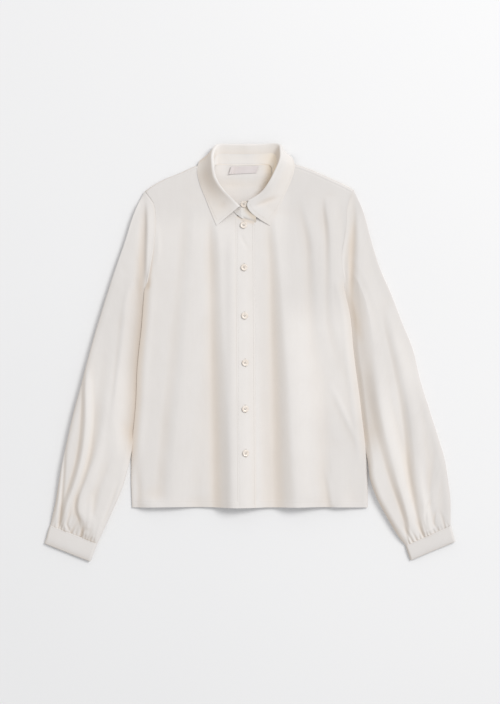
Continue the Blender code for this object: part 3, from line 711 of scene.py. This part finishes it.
# The gathers at each cuff: where along the seam from its outer end, depth, how far up the sleeve, width.
TUCKS_RIGHT = [
    (6, 1.0, 12, 1.8), (14, 1.8, 22, 2.0), (18.5, 1.8, 26, 1.6), (24, 1.4, 14, 1.8), (31, 1.2, 12, 1.8),
    (37.5, 2.2, 18, 2.2), (46, 1.4, 12, 2.0), (55, 2.6, 22, 2.4), (62.5, 1.6, 10, 1.6), (67, 1.2, 9, 1.5),
    (72, 1.6, 12, 1.6), (78.5, 1.4, 16, 1.6),
]
TUCKS_LEFT = [
    (4, 1.4, 12, 1.6), (11, 1.8, 16, 1.8), (17, 1.0, 10, 1.6), (23.5, 2.0, 14, 2.0), (30, 1.4, 12, 1.6),
    (38.5, 1.6, 12, 1.8), (44, 1.8, 12, 1.6), (50, 2.4, 24, 2.2), (57, 1.6, 12, 1.6), (63.5, 2.0, 14, 1.8),
    (71, 2.2, 22, 2.0), (77.5, 1.6, 12, 1.6),
]


def gathered(tucks, start, end, x, y):
    """Troughs that run up from the seam between start and end."""
    way = (end - start) / np.linalg.norm(end - start)
    at = (x - start[0]) * way[0] + (y - start[1]) * way[1]
    away = np.abs((x - start[0]) * way[1] - (y - start[1]) * way[0])
    height = np.zeros(np.shape(x))
    for number, (place, depth, reach, width) in enumerate(tucks):
        lean = (0.12, -0.1, 0.04, -0.16, 0.1)[number % 5]
        across = bell(at - place - lean * away, width * (1 + away / 40))
        height -= depth * across * np.exp(-((away / reach) ** 1.5))
    return height


def distance_to(line, x, y):
    """Distance from each point to a line through the given points."""
    return near_line(line, x, y)[0].min(axis=1)


def ring_line(outer, inner, side, t, turn):
    """A section's line from the outer to the inner edge; turn bends it to meet the inner edge squarely."""
    width = np.linalg.norm(inner - outer)
    first = outer + (inner - outer) / 3
    straight = inner + (outer - inner) / 3
    square = inner + width * 0.26 * np.array([side, 1]) * math.sqrt(0.5)
    second = straight + (square - straight) * turn
    t = t[:, None]
    return (1 - t) ** 3 * outer + 3 * t * (1 - t) ** 2 * first + 3 * t**2 * (1 - t) * second + t**3 * inner


def spread(count, bunched):
    """Fractions from 0 to 1, closer together at both ends."""
    even = np.linspace(0, 1, count)
    return (1 - bunched) * even + bunched * (0.5 - 0.5 * np.cos(math.pi * even))


def sleeve_shades(side, way, t, x, y, to_outer, valley):
    """Painted shade on one ring of a sleeve's points: how far its colour is tinted warmer, and how far it is
    dimmed.
    """
    if side < 0:
        # Painted shade: the valley between this sleeve and the body is darkened from high up beside the
        # armhole, and the sleeve's upper half is dimmed.
        deepest = np.maximum(valley, 0.75 * bell(x + 181, 7) * ease((478 - y) / 130) * (y > 330))
        return 0.95 * deepest, 0.85 * deepest + 0.2 * ease((0.5 - way) / 0.15)
    # Painted shade: on this one a darkened line runs down past the underarm, the outer part of its lower half
    # is dimmed, and its upper half is dimmed most at the outer edge.
    pocket = bell(x - np.interp(y, [285, 319, 353, 421, 470], [195, 188, 181, 177, 180]), 6)
    pocket = pocket * ease((500 - y) / 60) * ease((y - 270) / 40)
    slack = ease((way - 0.5) / 0.15) * ease((0.42 - t) / 0.14)
    painted_dim = 0.3 * valley + 0.15 * pocket + 0.42 * slack
    painted_dim = painted_dim + (0.16 + 0.3 * bell(to_outer, 9)) * ease((0.62 - way) / 0.15)
    return 0.3 * valley + 0.5 * pocket, painted_dim


def tube_rings(lines, form, ways, over, under, edge, radius, surface, side, armhole=None):
    """Rings of points round a flattened tube, flat below and folded above, and the painted shade of a
    sleeve's points.

    over and under are the fractions of the tube's width at which its two faces have points.
    """
    sections = along(np.hstack([lines, form]), ways)
    t = np.concatenate([over, under[-2:0:-1]])
    is_over = np.arange(len(t)) < len(over)
    rings, shades, painted_dims = [], [], []
    for number, (way, (ox, oy, ix, iy, height, turn, follow)) in enumerate(zip(ways, sections)):
        # Where a sleeve lies by the body it tucks a little under the side seam and climbs slowly from there.
        beside = ease((0.72 - way) / 0.14) if armhole else 0
        flat = ring_line(np.array([ox, oy]), np.array([ix, iy]), side, t, max(turn, 0))
        if armhole and follow > 0:
            start, end = np.array(armhole[-1], float), np.array(armhole[0], float)
            bow = along(armhole[::-1], t) - (start + (end - start) * t[:, None])
            flat = flat + follow * bow + follow * np.array([side * 0.12, 0])
        x, y = flat[:, 0], flat[:, 1]
        near = slice(max(0, number - 26), number + 27)
        to_outer, to_inner = (distance_to(sections[near, at:at + 2], x, y) for at in (0, 2))
        slow = 0.3 * ease(to_inner / 9) + 0.7 * ease(to_inner / 34)
        outer_rise = roll(to_outer, radius)
        if armhole and side > 0:
            outer_rise = 0.5 * outer_rise + 0.5 * ease(to_outer / 60)
        rising = np.minimum(outer_rise, beside * slow + (1 - beside) * roll(to_inner, radius))
        low = edge - beside * (1 - follow) * 0.2 * (to_inner < to_outer)
        if armhole:
            # Away from the seams the tube is rounder, so that its outermost line lies higher.
            rounder = (ROUND_RIGHT if side < 0 else ROUND_LEFT) * ease(way / 0.06) * ease((0.93 - way) / 0.12)
            by_body = beside * (1 - ease((to_inner - to_outer) / 30 + 0.5))
            low = low + rounder * (1 - by_body)
        top = low + (height + surface(x, y, way) - low) * rising
        bottom = low * (1 - roll(np.minimum(to_outer, to_inner), edge))
        tucked = side * TUCK * beside * min(1, (TUCK_LEFT if side > 0 else TUCK_RIGHT) * (1 - follow))
        rings.append(np.column_stack([x - tucked * t**6, y, np.where(is_over, top, bottom)]))
        # Painted shade in the valley beside the body, with the other marks of sleeve_shades.
        if armhole:
            valley = np.exp(-((to_inner / 12.5) ** 1.6)) * (0.25 + 0.75 * min(1, 2 * (1 - follow)))
            shade, painted_dim = sleeve_shades(side, way, t, x, y, to_outer, beside * valley)
            shades.append(shade)
            painted_dims.append(painted_dim * is_over)
    return np.array(rings), np.array(shades), np.array(painted_dims)


def tucked_in(ring, step, low, high, narrow):
    """The ring carried on by step, as the turned-in end that lies inside the next piece."""
    inside = ring.copy()
    away = ring[:, :2] - ring.mean(axis=0)[:2]
    length = np.linalg.norm(away, axis=1)[:, None]
    inside[:, :2] = ring[:, :2] - away / length * narrow + np.array(step)
    inside[:, 2] = np.clip(ring[:, 2], low, high)
    return inside


def make_sleeve(name, side, lines, folds, creases, tucks, armhole, grain):
    ways = np.concatenate([
        np.linspace(0, 0.06, 14, endpoint=False), np.linspace(0.06, 0.94, 170, endpoint=False),
        np.linspace(0.94, 1, 34),
    ])
    cuff_start, cuff_end = np.array(lines[-1][:2]), np.array(lines[-1][2:])

    def surface(x, y, way):
        slack = 0.6 * drift(x, y, 34, 70, 11) + 0.25 * drift(x, y, 15, 26, 12) + 0.06 * drift(x, y, 6, 8, 13)
        slack = slack * min(1, 12 * way) + gathered(tucks, cuff_start, cuff_end, x, y)
        seam_dip = (-0.4 - 1.2 * ease((480 - y) / 50)) * bell(way - 0.012, 0.014)
        into_cuff = 0.45 + 0.55 * ease((1 - way) / 0.018)
        return (folded(folds, x, y) + creased(creases, x, y)) * into_cuff + slack + seam_dip

    over, under = spread(150, 0.7), spread(26, 0.6)
    rings, *amounts = tube_rings(
        lines, SLEEVE_FORM, ways, over, under, SLEEVE_EDGE, SLEEVE_ROLL, surface, side, armhole
    )
    first = tucked_in(rings[0], (-side * 1.5, 0), 0, 5.4, 0)
    last_step = (rings[-1] - rings[-3]).mean(axis=0)[:2]
    last = tucked_in(rings[-1], last_step / np.linalg.norm(last_step) * 2.2, 1.0, 5.2, 1.2)
    rings = np.concatenate([first[None], rings, last[None]])
    shade, painted_dim = (np.concatenate([values[:1], values, values[-1:]]) for values in amounts)
    obj = sewn(name, rings, CLOTH_WALL, ring=True, flip=side < 0, shade=shade, painted_dim=painted_dim)
    return finished(obj, name, viscose("viscose_" + name, grain))


sleeve_right = make_sleeve(
    "sleeve_right", -1, SLEEVE_RIGHT, SLEEVE_RIGHT_FOLDS, SLEEVE_RIGHT_CREASES, TUCKS_RIGHT,
    ARMHOLE_RIGHT, -15,
)
sleeve_left = make_sleeve(
    "sleeve_left", 1, SLEEVE_LEFT, SLEEVE_LEFT_FOLDS, SLEEVE_LEFT_CREASES, TUCKS_LEFT,
    ARMHOLE_LEFT, 17,
)


# ---------------------------------------------------------------- Cuffs
# Narrow bands of doubled cloth with interlining, turned under and pressed, sewn over the gathered sleeve
# ends.

CUFF_EDGE = 2.6
CUFF_ROLL = 4.0
CUFF_DEPTH = 32     # from the sleeve's seam to the lower edge

# From the sleeve seam to the lower edge: outer line x, y, inner line x, y.
CUFF_RIGHT = [
    (-333, -30, -252.5, -61), (-336, -38, -256, -69), (-340, -53, -262, -85), (-343, -61, -265, -92),
]
CUFF_LEFT = [
    (348.5, -31, 271.5, -64.5), (350.5, -38, 273.5, -71), (354, -51, 278, -84), (356, -58, 280, -90),
]
CUFF_FORM = [(6.5, 0, 0), (7, 0, 0), (7, 0, 0), (5.5, 0, 0)]    # as SLEEVE_FORM


def make_cuff(name, side, lines, grain, painted_dim):
    def surface(x, y, way):
        from_seam, from_edge = way * CUFF_DEPTH, (1 - way) * CUFF_DEPTH
        rounded = -0.6 * (1 - roll(from_seam, 1.6)) - 1.4 * (1 - roll(from_edge, 2.4))
        pressed = -0.2 * bell(min(from_seam, from_edge) - 2.6, 0.8)
        return 0.3 * drift(x, y, 22, 16, 21) + 0.1 * drift(x, y, 8, 7, 22) + rounded + pressed

    ways, over, under = spread(40, 0.7), spread(84, 0.8), spread(20, 0.6)
    rings, _, _ = tube_rings(lines, CUFF_FORM, ways, over, under, CUFF_EDGE, CUFF_ROLL, surface, side)
    # Painted shade: the whole cuff is dimmed by the given amount.
    obj = sewn(name, rings, FACED_WALL, ring=True, flip=side < 0, painted_dim=painted_dim)
    return finished(obj, name, viscose("viscose_" + name, grain, crinkle=0.3))


cuff_right = make_cuff("cuff_right", -1, CUFF_RIGHT, -20, 0.1)
cuff_left = make_cuff("cuff_left", 1, CUFF_LEFT, 23, 0.26)


# ---------------------------------------------------------------- Collar
# A shirt collar: a stand round the neck and a fall that rolls over it, both of doubled cloth with
# interlining. The points lie on the fronts, and at the back the fall lies under the blouse.

STAND_BACK, STAND_FRONT = 0.52, 0.6    # how far up to the roll the stand reaches
ROLL_RADIUS = 3.4
STAND_WALL = 0.5
STAND_GAP = 0.15      # between the collar and what it lies on
LEAF_BOW = 12.5       # how far the fall's left front edge bows towards the centre
LEAF_CREASES = [
    (3.4, [(10, 509, 0), (24, 514.5, -2.2), (42, 522, -2.6), (62, 529, 0)]),
    (4.0, [(-36, 520, 0), (-43, 512, -1.2), (-56, 507, 0)]),
]
# The stand's ends lap over the centre front, the wearer's right one above the left one: lines up each end,
# from its lower edge.
STAND_RIGHT_END = [
    [(17, 485, 8.7), (17, 502, 10.2), (13, 515, 11.2)],
    [(5, 488, 9.0), (5, 504, 11.0), (4, 520, 12.2)],
    [(-7, 492, 8.7), (-8, 506, 10.8), (-7, 518, 12.2)],
]
STAND_LEFT_END = [
    [(6, 504, 6.4), (4, 510, 7.4), (1, 516, 8.8)],
    [(-6, 505, 5.8), (-7, 510, 6.6), (-8, 515, 7.6)],
]
FALL_FRONT = [(-1, 516), (2, 507), (9, 498), (18, 490)]    # the fall's left front edge beside that end


def body_top(x, y):
    """Upper face of what the collar stands on."""
    front = front_height(x, y) + 1 - ease((np.abs(x) - 14) / 5)
    on_back = ease((y - 568) / 12) * (1 - ease((np.abs(x + 4.5) - 42) / 8))
    return front + (back_height(x, y) - front) * on_back


def unit(vectors):
    return vectors / np.linalg.norm(vectors, axis=1)[:, None]


def collar_sections(count):
    """Round the collar: foot of the stand, top of the stand, points over the roll, and the fall's edge."""
    way = np.linspace(0, 1, count)
    rows = smooth(np.linspace(0, 1, len(COLLAR)), np.array(COLLAR, float), way)
    neck, roll_line, edge, above = rows[:, 0:2], rows[:, 2:5], rows[:, 5:7], rows[:, 7]
    foot = np.column_stack([neck, body_top(*neck.T) + STAND_WALL + STAND_GAP])
    under = ease((-above - 1) / 5)
    edge_z = (body_top(*edge.T) + FACED_WALL + STAND_GAP + np.minimum(above - 0.8, 0)) * (1 - under)
    rim = np.column_stack([edge, np.maximum(edge_z, 0)])
    rise = unit(roll_line - foot)
    out = unit(rim - roll_line)
    across = unit(out - (out * rise).sum(axis=1)[:, None] * rise)
    peak = roll_line - ROLL_RADIUS * across
    centre = peak - ROLL_RADIUS * rise + ROLL_RADIUS * across
    over = [
        centre + ROLL_RADIUS * (math.sin(angle) * rise - math.cos(angle) * across)
        for angle in np.radians(np.linspace(0, 135, 14))
    ]
    share = STAND_BACK + (STAND_FRONT - STAND_BACK) * (2 * way - 1) ** 4
    return foot, peak, share, over, rim


def standing(foot, peak, share):
    """Points up the stand: it leaves the neck seam flat and steepens towards the roll."""
    spots = foot + (peak - foot) * share[:, None]
    spots[:, 2] = foot[:, 2] + (peak - foot)[:, 2] * (0.4 * share + 0.6 * share**2)
    return spots


def refined(grid, rows, columns):
    """The same surface with more points, smooth through the given ones."""
    def finer(points, count):
        last = len(points) - 1
        return smooth(np.arange(last + 1.0), points, np.linspace(0, last, count))
    return np.swapaxes(finer(np.swapaxes(finer(np.array(grid, float), rows), 0, 1), columns), 0, 1)


def make_stand():
    foot, peak, share, _, _ = collar_sections(116)
    grid = np.stack([standing(foot, peak, share * part) for part in np.linspace(0, 1, 7)], axis=1)
    ends = refined(STAND_RIGHT_END, 24, 7), refined(STAND_LEFT_END, 12, 7)
    grid = refined(np.concatenate([ends[0], grid, ends[1]]), 300, 26)
    row = np.arange(len(grid))[:, None]
    # The upper end's lower edge is rolled: the cloth turns down to the band there.
    to_foot = np.linalg.norm(grid - grid[:, :1], axis=2)
    grid[..., 2] -= 2.2 * bell(to_foot, 2.6) * ease((46 - row) / 10)
    grid = np.concatenate([grid[:, :1] - np.array([0, 0, 0.7]), grid], axis=1)
    # The end lies in the shade of the fall's left front edge.
    to_fall = distance_to(np.array(FALL_FRONT, float), grid[..., 0].ravel(), grid[..., 1].ravel())
    at_end = bell(to_fall.reshape(grid.shape[:2]), 5.5) * (row < 50)
    # Painted glow: round the left of the neck the wall is tinted warmer and lighter.
    at_neck = 0.5 * ease((row / row[-1] - 0.55) / 0.1) * (row < 270)
    shade = 0.8 * (at_end + at_neck)
    obj = sewn("collar_stand", grid, STAND_WALL, flip=True, shade=shade, painted_dim=0.9 * at_end)
    cloth = viscose("viscose_stand", light=DENSE, deep=IVORY, crinkle=0.3, painted_tint=PAINTED_GLOW_TINT)
    return finished(obj, "collar_stand", cloth)


def fall_points(rolled, rim, way, share):
    """Points of the fall, these shares of the way from the end of its roll to its edge."""
    share = np.broadcast_to(share, np.shape(way))
    spots = rolled + (rim - rolled) * share[:, None]
    # It drops soon after the roll and then lies out flat; the left front edge bows towards the centre.
    spots[:, 2] = rim[:, 2] + (rolled - rim)[:, 2] * (0.45 * (1 - share) + 0.55 * (1 - share) ** 2.2)
    bow = ease((way - 0.93) / 0.07) * np.sin(math.pi * share**0.8)
    spots[:, 0] -= LEAF_BOW * bow
    spots[:, 2] += 2.4 * bow * (1 - share)
    return spots


def make_leaf():
    way = np.linspace(0, 1, 260)
    foot, peak, share, over, rim = collar_sections(len(way))
    seam = standing(foot, peak, share) + unit(peak - foot) * 0.06
    columns = [seam, standing(foot, peak, share * 0.6 + 0.3), *over]
    for share in np.concatenate([np.linspace(0, 0.96, 21)[1:], [0.98, 0.99, 1.0]]):
        spots = fall_points(over[-1], rim, way, share)
        spots[:, 2] += creased(LEAF_CREASES, spots[:, 0], spots[:, 1]) * (1 - share)
        columns.append(spots)
    # Painted shade: the wearer's left half of the fall is dimmed a little.
    painted_dim = 0.2 * ease((way - 0.55) / 0.1)[:, None]
    obj = sewn("collar_leaf", np.stack(columns, axis=1), FACED_WALL, flip=True, painted_dim=painted_dim)
    cloth = viscose("viscose_leaf", light=DENSE, deep=IVORY, crinkle=0.3)
    return finished(obj, "collar_leaf", cloth)


collar_stand = make_stand()
collar_leaf = make_leaf()


# ---------------------------------------------------------------- Neck label
# A plain woven tape, folded under at its ends and caught inside the back of the neck. It carries no words.

LABEL_CORNER = (-29, 566.5)
LABEL_LENGTH = 46.5
LABEL_WIDTH = 13
LABEL_LIFT = 1.5      # its upper face over the back


def make_label():
    across, up = np.meshgrid(np.linspace(0, 1, 40), np.linspace(0, 1, 12))
    x = LABEL_CORNER[0] + LABEL_LENGTH * across + 4 * up
    y = LABEL_CORNER[1] + 2.5 * across + up * (LABEL_WIDTH - 2 * across)
    # Its right end stands up a little.
    z = back_height(x, y) + LABEL_LIFT + 2.2 * ease(1 - across / 0.14) + 0.12 * drift(x, y, 9, 8, 31)
    tape = viscose("label_tape", light=(0.68, 0.63, 0.625), deep=(0.62, 0.565, 0.56), crinkle=0.1)
    return finished(sewn("label", np.dstack([x, y, z]), 0.5), "label", tape)


label = make_label()


# ---------------------------------------------------------------- Buttons
# Small four-hole buttons of pale horn-coloured resin, turned with a raised rim, each sewn on with two bars of
# thread.

BUTTON_RADIUS = 5.6
BUTTON_THICK = 2.2
HOLE_RADIUS, HOLE_AWAY = 0.115, 0.24    # as shares of the button's radius
# From the middle of its face over the rim to the middle below: shares of the radius and of the thickness.
BUTTON_PROFILE = [
    (0.0, 0.74), (0.5, 0.73), (0.64, 0.77), (0.74, 0.91), (0.82, 0.98), (0.9, 0.95), (0.97, 0.8), (1.0, 0.6),
    (0.97, 0.34), (0.88, 0.08), (0.8, 0.0), (0.0, 0.0),
]
BAND_BUTTONS = [(-4, 480), (-3, 408), (-2, 326), (-1, 246), (-1, 168), (0, 93)]   # x, y
BAND_TURNS = [12, -20, 35, 5, -8, 24]    # how each is turned, in degrees
BUTTON_UP = 1.35                         # a button's lowest plane over the front: the band and the shank
COLLAR_BUTTON = (-3.5, 515, 12.8)

resin, tree, shader, place = new_material("button_resin", {"Roughness": 0.32, "Coat Weight": 0.2})
swirl = {"Vector": place, "Scale": 160, "Detail": 3, "Distortion": 1.2}
swirl = add_node(tree, "TexNoise", swirl).outputs["Fac"]
feed(shader, {"Base Color": ramp(tree, swirl, (0.74, 0.65, 0.57), (0.82, 0.755, 0.69), (0.35, 0.65))})


def button_form(segments=48):
    """One button round the origin, resting on z = 0, in metres."""
    r, h = BUTTON_RADIUS * MM, BUTTON_THICK * MM
    points, faces = [], []
    for radius, height in BUTTON_PROFILE[1:-1]:
        for step in range(segments):
            angle = 2 * math.pi * step / segments
            points.append((r * radius * math.cos(angle), r * radius * math.sin(angle), h * height))
    last = len(points) - segments
    points += [(0, 0, h * BUTTON_PROFILE[0][1]), (0, 0, 0)]
    for step in range(segments):
        after = (step + 1) % segments
        faces.append((len(points) - 2, step, after))
        for here in range(0, last, segments):
            below = here + segments
            faces.append((here + step, below + step, below + after, here + after))
        faces.append((len(points) - 1, last + after, last + step))
    form = mesh_object("button", points, faces)
    for number in range(4):
        angle = math.radians(45 + 90 * number)
        away = HOLE_AWAY * r
        bpy.ops.mesh.primitive_cylinder_add(
            vertices=14, radius=HOLE_RADIUS * r, depth=3 * h,
            location=(away * math.cos(angle), away * math.sin(angle), h / 2),
        )
        drill = bpy.context.object
        cut = form.modifiers.new("hole", "BOOLEAN")
        cut.object = drill
        cut.operation = "DIFFERENCE"
        choose(form)
        bpy.ops.object.modifier_apply(modifier="hole")
        bpy.data.objects.remove(drill, do_unlink=True)
    bpy.ops.object.shade_smooth_by_angle(angle=math.radians(40))
    return form


form = button_form()


def set_button(name, x, y, z, slope=(0, 0), turn=0, face_down=False):
    """A copy of the button on the cloth, leaning with it. z is its lowest plane."""
    lean = Matrix(((1, 0, 0), (0, 1, 0), (*slope, 1))).to_4x4()
    place = Matrix.Translation(Vector(laid((x, y, z))))
    turned = Matrix.Rotation(math.radians(turn), 4, "Z")
    if face_down:
        turned = Matrix.Translation((0, 0, BUTTON_THICK * MM)) @ Matrix.Rotation(math.pi, 4, "X") @ turned
    made = bpy.data.objects.new(name + "_resin", form.data.copy())
    bpy.context.collection.objects.link(made)
    made.data.transform(place @ lean @ turned)
    finished(made, name, resin)


def front_at(x, y):
    return float(front_height(np.array([x], float), np.array([y], float))[0])


buttons = {}
for number, ((x, y), turn) in enumerate(zip(BAND_BUTTONS, BAND_TURNS), start=1):
    slope = [
        (front_at(x + dx, y + dy) - front_at(x - dx, y - dy)) / (2 * BUTTON_RADIUS)
        for dx, dy in ((BUTTON_RADIUS, 0), (0, BUTTON_RADIUS))
    ]
    buttons[f"button_{number}"] = (x, y, front_at(x, y) + BUTTON_UP, slope, turn)
buttons["button_collar"] = (*COLLAR_BUTTON, (0.04, 0.25), 18)
for name, spot in buttons.items():
    set_button(name, *spot)
set_button("button_cuff_right", -298, -61, 0, face_down=True)
set_button("button_cuff_left", 314, -61, 0, face_down=True)
bpy.data.objects.remove(form, do_unlink=True)


# ---------------------------------------------------------------- Stitches
# Fine ivory sewing thread: topstitching along the bands, collar, cuffs and hem, worked buttonholes, and the
# bars that hold the buttons.

LEAF_STEPS = 800         # places round the collar where its stitches may lie
BAR_SIDES = 5
# Along a bar: share of its length, width and height, as shares of the whole.
BAR_FORM = [(0, 0.35, 0), (0.16, 0.85, 0.6), (0.5, 1, 1), (0.84, 0.85, 0.6), (1, 0.35, 0)]
HOLE_HALF = 7.2          # half a buttonhole's length
HOLE_PITCH = 0.6         # between its threads
SEWN_AT = 0.95           # a button's four holes, from its middle
HEM_LINE = 10.2          # the hem's stitches, above its edge

thread, tree, shader, place = new_material("sewing_thread", {"Roughness": 0.6, "Sheen Weight": 0.2})
twist = add_node(tree, "TexNoise", {"Vector": place, "Scale": 1800}).outputs["Fac"]
bump = add_node(tree, "Bump", {"Height": twist, "Strength": 0.4, "Distance": 0.0002}).outputs["Normal"]
feed(shader, {"Base Color": ramp(tree, twist, (0.600, 0.565, 0.530), (0.720, 0.690, 0.655)), "Normal": bump})


def bars(name, starts, ends, radius, arch):
    """One small tapered bar of thread from each start to each end, in metres, arched up in between."""
    starts, ends = np.array(starts), np.array(ends)
    way = unit(ends - starts)
    across = unit(np.cross(way, [0, 0, 1.0]))
    up = np.cross(across, way)
    rings = []
    for share, wide, high in BAR_FORM:
        middle = starts + (ends - starts) * share + up * (arch * high)
        for corner in range(BAR_SIDES):
            turn = 2 * math.pi * corner / BAR_SIDES
            rings.append(middle + radius * wide * (math.cos(turn) * across + math.sin(turn) * up))
    points = np.stack(rings, axis=1)
    per = points.shape[1]
    faces = []
    for here in range(0, per - BAR_SIDES, BAR_SIDES):
        for corner in range(BAR_SIDES):
            after, above = (corner + 1) % BAR_SIDES, here + BAR_SIDES
            faces.append((here + corner, here + after, above + after, above + corner))
    faces += [tuple(range(BAR_SIDES))[::-1], tuple(range(per - BAR_SIDES, per))]
    every = [tuple(k + per * number for k in face) for number in range(len(points)) for face in faces]
    return finished(mesh_object(name, points.reshape(-1, 3).tolist(), every), None, thread)


def dropped(piece, spots):
    """The spots (x, y in millimetres) laid on top of a finished piece, and which of them are on it."""
    mesh = piece.data
    solid = BVHTree.FromPolygons([v.co for v in mesh.vertices], [f.vertices for f in mesh.polygons])
    found, on = [], []
    for x, y in spots:
        at = Vector(laid((x, y, 60)))
        hit = solid.ray_cast(at, Vector((0, 0, -1)))[0]
        on.append(hit is not None)
        found.append(hit or at)
    return np.array(found), np.array(on)


def topstitched(name, piece, lines, pitch=2.8, length=2.0):
    """Rows of stitches along lines of x, y points, on top of a finished piece."""
    starts, ends = [], []
    for line in lines:
        line = np.array(line, float)
        steps = np.concatenate([[0], np.cumsum(np.linalg.norm(np.diff(line, axis=0), axis=1))])
        for place in np.arange(pitch, steps[-1] - pitch, pitch):
            for at, keep in ((place - length / 2, starts), (place + length / 2, ends)):
                keep.append([np.interp(at, steps, column) for column in line.T])
    first, first_on = dropped(piece, starts)
    last, last_on = dropped(piece, ends)
    both = first_on & last_on & (np.abs(first - last)[:, 2] < 1.2 * MM)
    return bars(name, first[both], last[both], 0.2 * MM, 0.1 * MM)


def leaf_line(ways, shares):
    """Points of the collar's fall, as make_leaf places them."""
    _, _, _, over, rim = collar_sections(LEAF_STEPS + 1)
    index = np.round(ways * LEAF_STEPS).astype(int)
    return fall_points(over[-1][index], rim[index], ways, shares)[:, :2]


band_y = np.linspace(4, 486, 60)
topstitched("band_stitches", band_over, [
    np.column_stack([band_centre(band_y) + edge * (BAND_HALF - STITCH_IN), band_y]) for edge in (-1, 1)
])

# Along the fall's edge, and down its two front edges.
front_share = np.linspace(0.12, 0.9, 30)
topstitched("collar_stitches", collar_leaf, [
    leaf_line(np.linspace(0.011, 0.32, 40), 0.9), leaf_line(np.linspace(0.66, 0.989, 40), 0.9),
    leaf_line(np.full(30, 0.011), front_share), leaf_line(np.full(30, 0.989), front_share),
])
topstitched("stand_stitches", collar_stand, [
    [(14, 488.5), (5, 490.5), (-6, 494.5), (-14, 500)],
    [(-47, 584.6), (-22, 585), (0, 585), (20, 585), (36, 585)],
])
for name, piece, lines in (("cuff_right", cuff_right, CUFF_RIGHT), ("cuff_left", cuff_left, CUFF_LEFT)):
    topstitched(name + "_stitches", piece, [
        [row[:2] + (row[2:] - row[:2]) * share for share in (0.03, 0.5, 0.97)]
        for row in along(lines, (0.09, 0.9))
    ])
for name, piece, ends in (("hem_right", front_right, (-190, -16)), ("hem_left", front_left, (202, 19))):
    line = np.column_stack([np.linspace(*ends, 60), np.full(60, HEM_LINE)])
    topstitched(name + "_stitches", piece, [line])
label_ends = [[(-27.6, 568), (-23.8, 578)], [(16.4, 569.5), (20, 579)]]
topstitched("label_stitches", label, label_ends, 1.6, 1.1)

# A worked buttonhole runs up and down under each button of the band.
starts, ends = [], []
for x, y in BAND_BUTTONS:
    for side in (-1, 1):
        for step in np.arange(-HOLE_HALF, HOLE_HALF + 0.1, HOLE_PITCH):
            starts.append((x + side * 0.15, y + step))
            ends.append((x + side * 1.15, y + step + 0.15))
first, last = dropped(band_over, starts)[0], dropped(band_over, ends)[0]
bars("buttonhole_threads", first, last, 0.28 * MM, 0.12 * MM)

# Each button is sewn through its four holes with two bars of thread, of two strands each.
starts, ends = [], []
for x, y, z, slope, turn in buttons.values():
    a = math.radians(turn)
    for row in (-1, 1):
        for strand in (-0.28, 0.28):
            for side, keep in ((-1, starts), (1, ends)):
                dx, dy = side * SEWN_AT, row * SEWN_AT + strand
                dx, dy = dx * math.cos(a) - dy * math.sin(a), dx * math.sin(a) + dy * math.cos(a)
                keep.append(laid((x + dx, y + dy, z + BUTTON_THICK * 0.6 + slope[0] * dx + slope[1] * dy)))
bars("button_threads", starts, ends, 0.3 * MM, 0.3 * MM)
